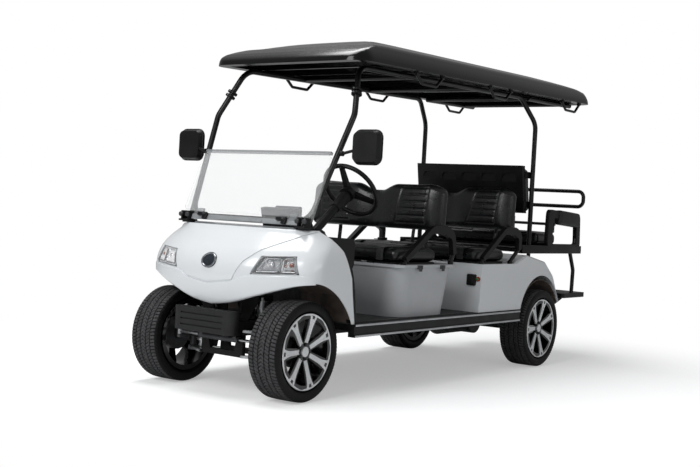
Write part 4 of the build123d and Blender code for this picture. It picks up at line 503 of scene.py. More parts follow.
def tyre_mesh(place, x, y, outward):
    """Tyre as radius(turn, across): a closed section carried round the axle, less the grooves' depth. The
    section runs from the inner bead over the tread to the outer bead. Four zigzag grooves run round it at
    GROOVES. Sipes, 84 to a turn, are chevrons on the centre rib, slanted cuts on the middle ribs and block
    edges on the shoulders. Two ribs stand 0.8 mm out of each sidewall, and notches cut its shoulder 1.6 mm
    deep."""
    sidewall = smooth_line(SIDEWALL, 22)
    tread = np.linspace(TREAD_HALF, -TREAD_HALF, 60)
    crown = TYRE_RADIUS - 0.0006 - 0.0016 * (tread / TREAD_HALF) ** 4
    inside = [(BEAD_RADIUS, -0.04), (BEAD_RADIUS, 0.04)]
    section = np.vstack([sidewall, np.column_stack([crown, tread]), (sidewall * (1, -1))[::-1], inside])
    angle = np.linspace(0, 2 * math.pi, TYRE_STEPS, endpoint=False)[:, None]
    radius, across = section[None, :, 0], section[None, :, 1]
    off = np.abs(across)
    arc = angle * TYRE_RADIUS
    pitch = 2 * math.pi * TYRE_RADIUS / SIPES

    def sipe(offset, width):
        return band((arc + offset + pitch / 2) % pitch - pitch / 2, width, 0.0011)

    zigzag = 0.0018 * np.abs((arc / pitch * 2) % 2 - 1)
    cuts = [band(across - middle + zigzag, 0.0020, 0.0016) * 0.0065 for middle in GROOVES]
    cuts.append((off < 0.020) * sipe(off * 0.9, 0.0012) * 0.0042)
    cuts.append(((off >= 0.020) & (off < 0.052)) * sipe(across * 0.55, 0.0012) * 0.0042)
    cuts.append((off >= 0.052) * sipe(across * 0.15 + pitch * 0.3, 0.0016) * 0.0055)
    on_tread = radius > 0.2555
    depth = np.maximum.reduce(cuts) * on_tread
    ribs = 0.0008 * band(radius - 0.2285, 0.0012, 0.001) + 0.0008 * band(radius - 0.2150, 0.0010, 0.001)
    notches = band(radius - 0.2505, 0.0045, 0.001) * sipe(0, 0.0030) * 0.0016
    out = np.sign(across) * (ribs - notches) * (off > 0.082)
    r = radius - depth
    points = np.stack(
        [x + r * np.cos(angle), y + (across + out) * outward, TYRE_RADIUS + r * np.sin(angle)], axis=-1
    )
    skin = [quads(TYRE_STEPS, len(section), True, True)]
    made = make(f"tread_{place}", [(points, skin)], f"{place}_wheel", TYRE)
    worn = made.data.attributes.new("tread", "FLOAT", "POINT")
    worn.data.foreach_set("value", (on_tread & (depth < 0.002)).astype(np.float32).ravel())
    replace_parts(made, f"tyre_{place}")


for wheel in WHEELS:
    tyre_mesh(*wheel)

# ---------------------------------------------------------------- wheel faces

SPOKES = 7
LUG_NUTS = 5
FACE_OUT = 0.088  # from the wheel's middle to its face
SPOKE_START, SPOKE_END = 0.047, 0.1855


def wheel_face(place, x, y, outward):
    """Machined face of a wheel: seven ribbons from the hub to the lip and a lip ring with a wavy inner edge.
    A ribbon's half width grows evenly from 12 to 15 mm and by 14 mm more over its outer half, as the square
    of the way along it. Its height falls 16.5 mm from lip to hub, with a channel 2.2 mm deep along the
    middle. The lip's inner radius is 190 - 4 * wave + 2.2 * bite mm."""
    axle = np.array([x, y, TYRE_RADIUS])
    axis = (0, outward, 0)
    radius = np.linspace(SPOKE_START, SPOKE_END, 26)
    share = (radius - SPOKE_START) / (SPOKE_END - SPOKE_START)
    half_width = 0.0120 + 0.003 * share + 0.014 * np.clip((share - 0.5) / 0.5, 0, 1) ** 2
    rise = FACE_OUT + 0.0012 - 0.0165 * np.clip((0.176 - radius) / (0.176 - 0.050), 0, 1)
    across = np.array([-1, -1, -0.93, -0.42, -0.36, 0.36, 0.42, 0.93, 1, 1])
    lift = np.array([-0.009, -0.0012, 0, 0, -0.0022, -0.0022, 0, 0, -0.0012, -0.009])
    stud = [(0.0002, 0.0018), (0.003, 0.0014), (0.0042, 0), (0.0042, -0.002)]
    parts = []
    for turn in 2 * math.pi * np.arange(SPOKES) / SPOKES:
        out = np.array([math.cos(turn), 0, math.sin(turn)])
        along = np.array([-math.sin(turn), 0, math.cos(turn)])
        points = radius[:, None, None] * out + (half_width[:, None] * across)[..., None] * along
        points = points + ((rise[:, None] + lift) * outward)[..., None] * np.array([0, 1, 0])
        parts.append(rings(points + axle))
        parts.append(turned(stud, axle + 0.158 * out + (0, outward * (FACE_OUT - 0.0022), 0), axis, steps=10))
    angle = np.linspace(0, 2 * math.pi, 252, endpoint=False)
    wave = 0.5 + 0.5 * np.cos(SPOKES * angle)
    bite = np.clip(np.cos(2 * SPOKES * angle + 0.6), -0.4, 0.7)
    inner = 0.1900 - 0.0040 * wave + 0.0022 * bite
    lip = [
        axle + np.column_stack(
            [r * np.cos(angle), np.full_like(angle, (FACE_OUT + h) * outward), r * np.sin(angle)]
        )
        for r, h in ((inner, -0.006), (inner, 0.0012), (0.1955, 0.0022), (0.1975, -0.001))
    ]
    parts.append(rings(lip, capped=False))
    cap = [(0.0003, 0.0012), (0.0235, 0.0012), (0.0262, 0), (0.0262, -0.010)]
    parts.append(turned(cap, axle + (0, outward * (FACE_OUT - 0.0105), 0), axis, steps=36))
    make(f"wheel_face_{place}", parts, f"{place}_wheel", ALLOY, smooth=False)
    nut = [(0.0085, -0.004), (0.0085, 0.008), (0.0070, 0.0105), (0.0003, 0.0125)]
    nuts = []
    for turn in 2 * math.pi * (np.arange(LUG_NUTS) + 0.5) / LUG_NUTS:
        middle = axle + (0.0375 * math.cos(turn), outward * (FACE_OUT - 0.019), 0.0375 * math.sin(turn))
        nuts.append(turned(nut, middle, axis, steps=6))
    make(f"lug_nuts_{place}", nuts, f"{place}_wheel", CASTING, smooth=False)


for wheel in WHEELS:
    wheel_face(*wheel)

# ---------------------------------------------------------------- seats


def pad_grid(size, radius, pitch):
    """A rounded box as six grids welded at their edges. A point q on the box of half sides h goes to
    core + radius * (q - core) / |q - core|, where core is q clipped to the box of half sides h - radius."""
    half = np.array(size) / 2
    counts = [max(4, int(round(side / pitch))) for side in size]
    parts = []
    for axis in range(3):
        u, v = [k for k in range(3) if k != axis]
        a, b = np.meshgrid(
            np.linspace(-1, 1, counts[u] + 1), np.linspace(-1, 1, counts[v] + 1), indexing="ij"
        )
        for end in (-1, 1):
            q = np.zeros(a.shape + (3,))
            q[..., u], q[..., v], q[..., axis] = a * half[u], b * half[v], end * half[axis]
            core = np.clip(q, -(half - radius), half - radius)
            away = q - core
            q = core + radius * away / np.maximum(np.linalg.norm(away, axis=-1, keepdims=True), 1e-9)
            parts.append((q.reshape(-1, 3), [quads(*a.shape)]))
    return parts


def ease(value, low, high):
    """Smooth step from 0 at low to 1 at high."""
    t = np.clip((value - low) / (high - low), 0, 1)
    return t * t * (3 - 2 * t)


def vertices(made):
    """The mesh's points as an array."""
    co = np.zeros(len(made.data.vertices) * 3)
    made.data.vertices.foreach_get("co", co)
    return co.reshape(-1, 3)


def move_to(made, points):
    """Puts the mesh's points where the array says."""
    made.data.vertices.foreach_set("co", points.astype(np.float32).ravel())
    made.data.update()


CLOTH_STEPS = 20


def puff(pads, cap):
    """Inflates all pads at once with cloth pressure, without gravity, and keeps each point within cap of its
    start."""
    starts = {pad.name: vertices(pad) for pad in pads}
    for pad in pads:
        cloth = pad.modifiers.new("stuffing", "CLOTH")
        cloth.settings.use_pressure = True
        cloth.settings.uniform_pressure_force = 4.0
        cloth.settings.quality = 4
        cloth.settings.mass = 0.3
        cloth.settings.tension_stiffness = 40
        cloth.settings.compression_stiffness = 40
        cloth.settings.effector_weights.gravity = 0
        cloth.point_cache.frame_start, cloth.point_cache.frame_end = 1, CLOTH_STEPS
    scene = bpy.context.scene
    for step in range(1, CLOTH_STEPS + 1):
        scene.frame_set(step)
    graph = bpy.context.evaluated_depsgraph_get()
    results = {}
    for pad in pads:
        shape = pad.evaluated_get(graph).to_mesh()
        co = np.zeros(len(shape.vertices) * 3)
        shape.vertices.foreach_get("co", co)
        results[pad.name] = co.reshape(-1, 3)
        pad.evaluated_get(graph).to_mesh_clear()
    for pad in pads:
        pad.modifiers.clear()
        shift = results[pad.name] - starts[pad.name]
        length = np.linalg.norm(shift, axis=1, keepdims=True)
        move_to(pad, starts[pad.name] + shift * np.minimum(1, cap / np.maximum(length, 1e-9)))
    scene.frame_set(1)


def refine(made):
    """One level of Catmull-Clark subdivision, kept in the mesh."""
    finer = made.modifiers.new("finer", "SUBSURF")
    finer.levels = finer.render_levels = 1
    mesh = bpy.data.meshes.new_from_object(made.evaluated_get(bpy.context.evaluated_depsgraph_get()))
    made.modifiers.clear()
    made.data = mesh
    mesh.polygons.foreach_set("use_smooth", np.full(len(mesh.polygons), True))


PITCH = 0.010
SLACK = 0.012  # room left for the cloth to swell
CUSHIONS = [  # name, body, front x, back x, half width, low z, high z
    ("front_seat_cushion", "front_lid", fx(756), fx(1215), 0.512, 0.7105, 0.7925),
    ("second_seat_cushion", "second_lid", fx(1648), fx(2062), 0.512, 0.7105, 0.7925),
    ("rear_seat_cushion", "rear_flip_seat", rx(214), rx(535), 0.425, 0.8135, 0.9095),
]
BACKS = [  # name, front x, back x, half width, low z, high z
    ("front_seat_back", fx(1222), fx(1330), 0.505, 0.885, 1.180),
    ("second_seat_back", fx(2098), fx(2206), 0.505, 0.905, 1.200),
]


def cover(name, body, size, radius):
    """A plain rounded pad about the origin and its points; its caller shapes them and moves the pad to its
    place."""
    made = make(f"{name}_cover", pad_grid(size, radius, PITCH), body, VINYL, weld=1e-5)
    return made, vertices(made)


def cushion(name, body, front, back, half_width, low, high):
    """A bench cushion: its top is crowned by 6 mm, its corners are full and its long sides are pulled in 5 mm
    between them."""
    size = (front - back - SLACK, 2 * half_width - SLACK, high - low - 0.010)
    made, p = cover(name, body, size, 0.032)
    across, along, up = p[:, 0] / (size[0] / 2), p[:, 1] / (size[1] / 2), p[:, 2] / (size[2] / 2)
    crown = (1 - across**2) * (1 - np.abs(along) ** 2.5)
    p[:, 2] += np.where(up > 0, 0.006, 0.0) * crown
    p[:, 0] -= np.sign(across) * 0.005 * ease(np.abs(across), 0.7, 1) * (1 - along**4)
    move_to(made, p + ((front + back) / 2, 0, (low + high) / 2 - 0.001))
    return made


def bench_back(name, front, back, half_width, low, high):
    """A two-seat backrest that leans back 14 mm: the top edge dips 40 mm between the seats and 30 mm at its
    ends, and the face bulges 12 mm at each seat and falls away between them and at the outer edges."""
    size = (front - back - 0.014, 2 * half_width - SLACK, high - low - 0.010)
    made, p = cover(name, "chassis", size, 0.036)
    y, up = np.abs(p[:, 1]), p[:, 2] / size[2] + 0.5
    dip = 0.040 * (1 - ease(y, 0.03, 0.16)) + 0.030 * ease(y, half_width - 0.11, half_width)
    p[:, 2] -= dip * ease(up, 0.35, 1.0)
    bulge = 0.012 * np.exp(-(((y - 0.27) / 0.16) ** 2)) * np.sin(math.pi * np.clip(up, 0, 1)) ** 0.8
    hollow = 0.018 * (1 - ease(y, 0.0, 0.13)) + 0.022 * ease(y, half_width - 0.09, half_width)
    p[:, 0] += np.where(p[:, 0] > 0, bulge - hollow, 0)
    p[:, 0] += (0.5 - up) * 0.014
    move_to(made, p + ((front + back) / 2 - 0.007, 0, (low + high) / 2))
    return made


def rear_back():
    """The rear-facing backrest on its shell, a wedge that is deepest near the bottom, with a rolled rear
    face."""
    low, high = 1.047, 1.343
    size = (0.120, 0.828, high - low)
    made, p = cover("rear_seat_back", "chassis", size, 0.030)
    up = p[:, 2] / size[2] + 0.5
    shell = np.interp(up, [0, 1], [rx(22), rx(-35)])
    rear = np.interp(up, [0, 0.12, 0.9, 1], [rx(100), rx(104), rx(64), rx(56)])
    p[:, 0] = rear + (shell - rear) * (0.5 + p[:, 0] / size[0])
    p[:, 2] += (low + high) / 2
    move_to(made, p)
    return made


covers = {row[0]: cushion(*row) for row in CUSHIONS} | {row[0]: bench_back(*row) for row in BACKS}
covers["rear_seat_back"] = rear_back()
puff(list(covers.values()), 0.006)


def quilt(made, facing, panel, channels, upward, depth=0.0042):
    """Sewn channels pressed into the face that looks along facing: lines across each panel at the channels'
    marks along upward, and the panel's two seams, with rolls between them: press = depth * band(distance to
    the line). panel gives the inner seam's y at the first and last mark, then the outer seam's; both seats
    have one."""
    refine(made)
    p = vertices(made)
    normals = np.zeros(len(p) * 3)
    made.data.vertices.foreach_get("normal", normals)
    normals = normals.reshape(-1, 3)
    toward = ease(normals @ np.array(facing, float), 0.25, 0.7)
    travel = p @ np.array(upward, float)
    low, high, pitch = channels[0], channels[-1], channels[1] - channels[0]
    share = np.clip((travel - low) / (high - low), 0, 1)
    inner, outer = (first + (last - first) * share for first, last in (panel[:2], panel[2:]))
    within = (travel > low - 0.004) & (travel < high + 0.004)
    waves = 0.35 * np.abs(np.sin(math.pi * (travel - low) / pitch)) ** 0.5
    press = np.zeros(len(p))
    for side in (1, -1):
        y = side * p[:, 1]
        inside = ease(y, inner - 0.003, inner + 0.003) * (1 - ease(y, outer - 0.003, outer + 0.003))
        for line in channels:
            press = np.maximum(press, band(travel - line, 0.0015, 0.006) * inside)
        for seam in (inner, outer):
            press = np.maximum(press, band(y - seam, 0.0015, 0.006) * within)
        press = press - inside * within * waves * (press < 0.05)
    move_to(made, p - normals * (press * toward * depth)[:, None])


UPWARD, AHEAD, REARWARD = (0, 0, 1), (1, 0, 0), (-1, 0, 0)
QUILTS = [  # name, facing, seams, channels, direction of the marks
    ("front_seat_back", AHEAD, (0.175, 0.215, 0.385, 0.40), np.linspace(0.935, 1.150, 6), UPWARD),
    ("second_seat_back", AHEAD, (0.165, 0.235, 0.375, 0.40), np.linspace(0.955, 1.170, 6), UPWARD),
    ("front_seat_cushion", UPWARD, (0.165, 0.165, 0.385, 0.385), np.linspace(fx(1180), fx(800), 7), AHEAD),
    ("second_seat_cushion", UPWARD, (0.165, 0.165, 0.385, 0.385), np.linspace(fx(2030), fx(1690), 7), AHEAD),
    ("rear_seat_cushion", UPWARD, (0.12, 0.12, 0.32, 0.32), np.linspace(rx(510), rx(240), 6), AHEAD),
    ("rear_seat_back", REARWARD, (0.12, 0.12, 0.32, 0.32), np.linspace(1.09, 1.31, 5), UPWARD),
]
for name, *sewing in QUILTS:
    quilt(covers[name], *sewing)
for name, made in covers.items():
    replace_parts(made, name)

# ---------------------------------------------------------------- front moulding's face

FRONT_SLICES = np.array([  # z, nose ahead of the axle, half width, corner radius
    (0.350, 0.135, 0.576, 0.120),
    (0.500, 0.193, 0.576, 0.120),
    (0.610, 0.221, 0.576, 0.120),
    (0.715, 0.205, 0.572, 0.130),
    (0.805, 0.130, 0.545, 0.150),
    (0.876, 0.060, 0.480, 0.170),
])
NOSE_RADIUS = 1.030


def through(knots, values, at):
    """The natural cubic curve through the knots: second slopes m solve h[i-1] m[i-1] + 2 (h[i-1] + h[i]) m[i]
    + h[i] m[i+1] = 6 * (step of slope), and each span is the cubic with those second slopes at its ends."""
    gap = np.diff(knots)
    table = np.diag(np.concatenate([[1], 2 * (gap[:-1] + gap[1:]), [1]]))
    table += np.diag(np.concatenate([gap[:-1], [0]]), -1) + np.diag(np.concatenate([[0], gap[1:]]), 1)
    slope = np.diff(values) / gap
    m = np.linalg.solve(table, np.concatenate([[0], 6 * np.diff(slope), [0]]))
    i = np.clip(np.searchsorted(knots, at) - 1, 0, len(knots) - 2)
    after, before, h = at - knots[i], knots[i + 1] - at, gap[i]
    bend = (m[i] * before**3 + m[i + 1] * after**3) / (6 * h)
    return bend + (values[i] / h - m[i] * h / 6) * before + (values[i + 1] / h - m[i + 1] * h / 6) * after


def nose_skin(y, z, proud):
    """Points on the front moulding at y and z. In plan each level is an arc of 1030 mm radius with rounded
    corners: x = tip - R + sqrt(R^2 - y^2) up to the corner, then the corner circle's own arc."""
    y, z = np.broadcast_arrays(np.asarray(y, float), np.asarray(z, float))
    nose, wide, corner = (through(FRONT_SLICES[:, 0], FRONT_SLICES[:, k], z) for k in (1, 2, 3))
    back = FRONT_AXLE + nose - NOSE_RADIUS
    turn = (wide - corner) * NOSE_RADIUS / (NOSE_RADIUS - corner)
    face = back + np.sqrt(NOSE_RADIUS**2 - np.minimum(np.abs(y), turn) ** 2)
    middle = back + np.sqrt((NOSE_RADIUS - corner) ** 2 - (wide - corner) ** 2)
    round_corner = middle + np.sqrt(np.maximum(corner**2 - (np.abs(y) - wide + corner) ** 2, 0))
    x = np.where(np.abs(y) <= turn, face, round_corner) + proud
    return np.stack([x, y, z], axis=-1)


def corner_arcs(before, corners, after, radius, steps):
    """Rounds corners: each becomes the curve (1 - t)^2 start + 2 t (1 - t) corner + t^2 end, which starts and
    ends a radius away from the corner, towards the points before and after it."""
    before, after = before - corners, after - corners
    start = corners + before / np.linalg.norm(before, axis=1)[:, None] * radius
    end = corners + after / np.linalg.norm(after, axis=1)[:, None] * radius
    t = np.linspace(0, 1, steps)[None, :, None]
    curve = (1 - t) ** 2 * start[:, None] + 2 * t * (1 - t) * corners[:, None] + t**2 * end[:, None]
    return curve.reshape(-1, 2)


def outline_of(corners, radius, steps=5):
    """A polygon's outline with its corners rounded."""
    corners = np.asarray(corners, float)
    return corner_arcs(np.roll(corners, 1, axis=0), corners, np.roll(corners, -1, axis=0), radius, steps)


def shells(outline, steps, side=1):
    """Rings of skin points inside an outline: step (share, proud) shrinks it to share of its size about its
    middle."""
    middle = outline.mean(axis=0)
    shrunk = [(middle + (outline - middle) * share, proud) for share, proud in steps]
    return np.array([nose_skin(ring[:, 0] * side, ring[:, 1], proud) for ring, proud in shrunk])


LAMP_OUTLINE = [(0.258, 0.641), (0.500, 0.653), (0.468, 0.744), (0.297, 0.736)]  # y, z
LAMP_CHAMBERS = [  # outline in y and z, corner radius, depth
    ([(0.284, 0.654), (0.402, 0.660), (0.400, 0.729), (0.318, 0.726)], 0.014, 0.040),
    ([(0.412, 0.660), (0.484, 0.663), (0.458, 0.733), (0.410, 0.730)], 0.012, 0.034),
]
COVER_RINGS = [(0.985, -0.004), (0.985, 0.0005), (0.95, 0.0022), (0.80, 0.0028), (0.5, 0.003), (0.02, 0.003)]
FRAME_RINGS = [(1.0, -0.030), (1.0, 0.0012), (0.985, 0.0025), (0.93, 0.0012), (0.92, -0.012), (0.92, -0.030)]
BACK_RINGS = [(0.985, -0.034), (0.985, -0.0285), (0.5, -0.0285), (0.02, -0.0285)]
LAMP_AXIS = np.array([0.92, 0.39, 0])


def headlamps():
    """A clear cover over two chrome bowls. A bowl's rings sink as 6 mm + depth * (1 - share^3); the cover's
    rings rise 3 mm proud and roll down at the rim, and the frame is a band over the outer 8 % of the
    opening."""
    glass, frames, bowls, bulbs, backs = [], [], [], [], []
    whole = outline_of(LAMP_OUTLINE, 0.020)
    share = np.array([1.0, 1.0, 0.93, 0.86, 0.75, 0.6, 0.4, 0.2, 0.03])
    for side in (1, -1):
        glass.append(rings(shells(whole, COVER_RINGS, side)))
        frames.append(rings(shells(whole, FRAME_RINGS, side), closed=True))
        backs.append(rings(shells(whole, BACK_RINGS, side)))
        for corners, radius, depth in LAMP_CHAMBERS:
            sink = -0.006 - depth * (1 - np.clip(share / 0.93, 0, 1) ** 3)
            sink[:2] = (-0.020, -0.004)
            chamber = outline_of(corners, radius)
            bowls.append(rings(shells(chamber, list(zip(share, sink)), side), capped=False))
        for group, y, z, r in ((bowls, 0.345, 0.694, 0.017), (bulbs, 0.440, 0.697, 0.013)):
            profile = [(0.0003, 0.030), (r * 0.5, 0.027), (r * 0.85, 0.018), (r, 0.004), (r, -0.004)]
            tip = nose_skin(y * side, z, -0.040)
            group.append(turned(profile, tip, LAMP_AXIS * (1, side, 1), (0, 0, 1), 20))
    make("headlamp_bowls", bowls, "chassis", CHROME)
    make("headlamp_bulbs", bulbs, "chassis", AMBER)
    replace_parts(make("headlamp_housings", backs + frames, "chassis", LAMP_GREY), "headlamps")
    make("headlamp_covers", glass, "chassis", LENS)


headlamps()


def nose_badge():
    """A bare oval plate: a domed dark field inside a chrome rim with a dark seat. Each ring is an ellipse of
    half sides 52 and 40 mm times its share, laid on the moulding and raised by its height."""
    turn = np.linspace(0, 2 * math.pi, 48, endpoint=False)
    oval = np.column_stack([0.052 * np.cos(turn), 0.696 + 0.040 * np.sin(turn)])
    seat = [(1.0, 0.003), (1.0, 0.0075), (0.97, 0.0085), (0.90, 0.0085), (0.90, 0.003)]
    make("nose_badge_seat", [rings(shells(oval, seat), closed=True)], "chassis", SCREEN)
    rim = [(0.94, 0.003), (0.94, 0.010), (0.90, 0.0125), (0.80, 0.0125), (0.75, 0.010), (0.75, 0.003)]
    make("nose_badge_rim", [rings(shells(oval, rim), closed=True)], "chassis", CHROME_DARK)
    field = [(0.77, 0.003), (0.77, 0.0085), (0.7, 0.0094), (0.4, 0.0104), (0.02, 0.0106)]
    make("nose_badge_field", [rings(shells(oval, field))], "chassis", BADGE)


nose_badge()

# ---------------------------------------------------------------- windscreen frame and fittings

FACING_X = ((0, 1, 0), (0, 0, 1), (1, 0, 0))  # a block's axes
FACING_BACK = ((0, 1, 0), (0, 0, 1), (-1, 0, 0))
STRUT_FOOT = np.array([fx(55), 0.414, 0.885])
STRUT_BEND = np.array([fx(319), 0.489, 1.499])
LEAN = np.array([STRUT_BEND[0] - STRUT_FOOT[0], 0, STRUT_BEND[2] - STRUT_FOOT[2]])
LEAN = LEAN / np.linalg.norm(LEAN)
FACE = np.array([LEAN[2], 0, -LEAN[0]])


def on_screen(y, along, proud):
    """A point of the raked windscreen plane: foot + along * lean + proud * face, at y across."""
    y, along, proud = np.broadcast_arrays(np.asarray(y, float), along, proud)
    base = np.array([STRUT_FOOT[0], 0, STRUT_FOOT[2]])
    return base + along[..., None] * LEAN + proud[..., None] * FACE + y[..., None] * np.array([0, 1, 0])


def circle(radius):
    """A round section of twelve points: radius * (cos a, sin a)."""
    turn = np.linspace(0, 2 * math.pi, 12, endpoint=False)
    return radius * np.column_stack([np.cos(turn), np.sin(turn)])


def screen_frame():
    """The tube that joins the two struts below the glass, the grey seal strip, its clips and the strut
    feet."""
    half = [(0.4375, 0.215), (0.4285, 0.130), (0.405, 0.070), (0.362, 0.042), (0.300, 0.036), (0.150, 0.036)]
    line = smooth_line(half + [(0, 0.036)] + [(-y, along) for y, along in reversed(half)], 90)
    tube_path = on_screen(line[:, 0], line[:, 1], -0.001)
    make("screen_frame_tube", [carried(tube_path, circle(0.0145), up=FACE)], "chassis", TUBE)
    axes = (np.array([0, 1, 0]), LEAN, FACE)
    strip = [
        block(on_screen(0, 0.017, 0.0265), (0.800, 0.030, 0.007), 0.003, 0.002, axes),
        block(on_screen(-0.02, 0.012, 0.032), (0.300, 0.016, 0.006), 0.003, 0.002, axes),
    ]
    make("screen_seal_strip", strip, "chassis", TRIM_GREY)
    clips, knobs = [], []
    knob = [(0.0003, 0.012), (0.007, 0.012), (0.009, 0.009), (0.009, 0)]
    for y in (-0.300, 0.262):
        clips.append(block(on_screen(y, 0.030, 0.036), (0.070, 0.018, 0.020), 0.004, 0.003, axes))
        clips.append(block(on_screen(y + 0.022, 0.020, 0.040), (0.030, 0.040, 0.014), 0.006, 0.003, axes))
        knobs.append(turned(knob, on_screen(y + 0.022, 0.030, 0.046), FACE, (0, 1, 0), 14))
    bolt = [(0.0003, 0.010), (0.010, 0.010), (0.013, 0.007), (0.013, -0.002)]
    for side in (1, -1):
        foot = np.array([STRUT_FOOT[0] + 0.012, side * STRUT_FOOT[1], 0.8865])
        clips.append(block(foot + [0.006, 0, 0.003], (0.088, 0.070, 0.010), 0.010, 0.002))
        for end in (-0.024, 0.024):
            clips.append(block(foot + [0.012, end, 0.028], (0.046, 0.016, 0.052), 0.010, 0.004))
            knobs.append(turned(bolt, foot + [0.037, end, 0.034], (1, 0, 0), (0, 1, 0), 14))
    make("screen_clips", clips, "chassis", PLASTIC)
    make("screen_clip_knobs", knobs, "chassis", CASTING)


screen_frame()


def mirror_glasses():
    """Silvered plates on the mirrors' rear faces, the lip that holds each and a band round the housing:
    rounded rectangles in rings; the band's shrink by 0.89 of their distance forward, as the housing
    tapers."""
    glass, lips = [], []
    lip = [(0.0, 0.004), (0.0, -0.004), (-0.004, -0.0065), (-0.010, -0.005), (-0.010, 0.004)]
    bead = [(grow - 0.445 * x, x) for grow, x in ((0, 0.006), (0.0025, 0.0075), (0.0025, 0.0105), (0, 0.012))]
    for side in (1, -1):
        centre = np.array([fx(262) - 0.0005, side * 0.628, 1.322])
        glass.append(block(centre - [0.0012, 0, 0], (0.158, 0.162, 0.003), 0.036, 0.001, FACING_X))

        def ring(grow, x, corner):
            edge = rounded(0.182 + 2 * grow, 0.186 + 2 * grow, corner, 6)
            return centre + np.column_stack([np.full(len(edge), x), edge[:, 0], edge[:, 1]])

        lips.append(rings([ring(grow, x, 0.044 + grow) for grow, x in lip], closed=True))
        lips.append(rings([ring(grow, x, 0.044) for grow, x in bead], capped=False))
    make("mirror_glasses", glass, "chassis", MIRROR)
    make("mirror_lips", lips, "chassis", PLASTIC)


mirror_glasses()

# ---------------------------------------------------------------- body trim


def cowl_trim():
    """The black band behind the cowl's edge, from its top to the floor: at each point of the edge the section
    is a strip 16 to 36 mm deep that reaches 50 to 200 mm inwards from the moulding's side."""
    edge = smooth_line(
        [(0.098, 0.884), (0.118, 0.853), (0.196, 0.773), (0.258, 0.635), (0.290, 0.480), (0.303, 0.396)], 48
    )
    x, z = FRONT_AXLE - edge[:, 0], edge[:, 1]
    wide = through(FRONT_SLICES[:, 0], FRONT_SLICES[:, 2], np.clip(z, 0.35, 0.872)) - 0.004
    reach = np.interp(z, [0.396, 0.75, 0.86, 0.884], [0.050, 0.075, 0.14, 0.20])
    depth = np.interp(z, [0.396, 0.6, 0.8, 0.884], [0.016, 0.022, 0.036, 0.030])
    along = np.gradient(edge, axis=0)
    along = np.abs(along / np.linalg.norm(along, axis=1)[:, None])
    parts = []
    for side in (1, -1):
        loops = []
        for step, share in ((-0.001, 0), (-0.001, 1), (depth, 1), (depth, 0)):
            back, across, down = x - step * along[:, 1], wide - share * reach, z - step * along[:, 0] * 0.6
            loops.append(np.column_stack([back, side * across, down]))
        parts.append(rings(np.stack(loops, axis=1)))
    make("cowl_edge_trim", parts, "chassis", PLASTIC)


cowl_trim()


def sill_strips():
    """Satin strips along both lips of each sill, 11 mm high and 3 mm thick."""
    middle = (fx(287) + fx(2143)) / 2
    places = [(middle, side * 0.5925, z) for side in (1, -1) for z in (0.389, 0.331)]
    parts = [block(place, (1.850, 0.003, 0.011), 0.001, 0.0008) for place in places]
    make("sill_strips", parts, "chassis", ALLOY_STRIP)


sill_strips()


def controls():
    """Display glass on the pod, charging socket and push button on the second base, latches under the front
    lid."""
    glass = block((fx(368) - 0.0065, 0.028, 0.940), (0.190, 0.110, 0.004), 0.010, 0.001, FACING_BACK)
    make("display_glass", [glass], "chassis", SCREEN)
    base_face = fx(1621)
    socket = [
        block((base_face + 0.006, 0.512, 0.600), (0.058, 0.070, 0.026), 0.008, 0.003, FACING_X),
        block((base_face + 0.020, 0.512, 0.600), (0.040, 0.048, 0.010), 0.010, 0.003, FACING_X),
    ]
    make("charge_socket", socket, "chassis", PLASTIC)
    place, axis, start = (base_face + 0.004, 0.556, 0.607), (1, 0, 0), (0, 1, 0)
    ring = turned([(0.0003, 0.006), (0.013, 0.006), (0.015, 0.003), (0.015, -0.004)], place, axis, start, 20)
    make("charge_button_ring", [ring], "chassis", RED_LENS)
    button = turned([(0.0003, 0.013), (0.007, 0.012), (0.009, 0.009), (0.009, 0.004)], place, axis, start, 20)
    make("charge_button", [button], "chassis", GREEN)
    latches = []
    for x in (fx(935), fx(1180)):
        for side in (1, -1):
            latches.append(block((x, side * 0.5625, 0.686), (0.050, 0.010, 0.022), 0.004, 0.002))
            latches.append(block((x, side * 0.5665, 0.676), (0.026, 0.010, 0.026), 0.006, 0.002))
    make("lid_latches", latches, "chassis", CASTING)


controls()


def arm_grips():
    """Integral-skin foam grips on the rear seat's arms: blocks 330 mm long with rolled edges, tilted 3
    degrees."""
    lean = math.radians(3)
    axes = ((math.cos(lean), 0, math.sin(lean)), (0, 1, 0), (-math.sin(lean), 0, math.cos(lean)))
    parts = [
        block((rx(560), side * 0.480, 1.012), (0.330, 0.062, 0.104), 0.024, 0.020, axes) for side in (1, -1)
    ]
    make("rear_arm_grips", parts, "chassis", FOAM)


arm_grips()

ARM_LOOPS = [  # y, then (x, z) along a seat arm from its front foot to its rear foot
    (0.541, [(fx(800), 0.728), (fx(1075), 0.905), (fx(1215), 0.905), (fx(1300), 0.870), (fx(1325), 0.760)]),
    (0.545, [(fx(1675), 0.728), (fx(1950), 0.912), (fx(2080), 0.912), (fx(2150), 0.880), (fx(2150), 0.790)]),
]


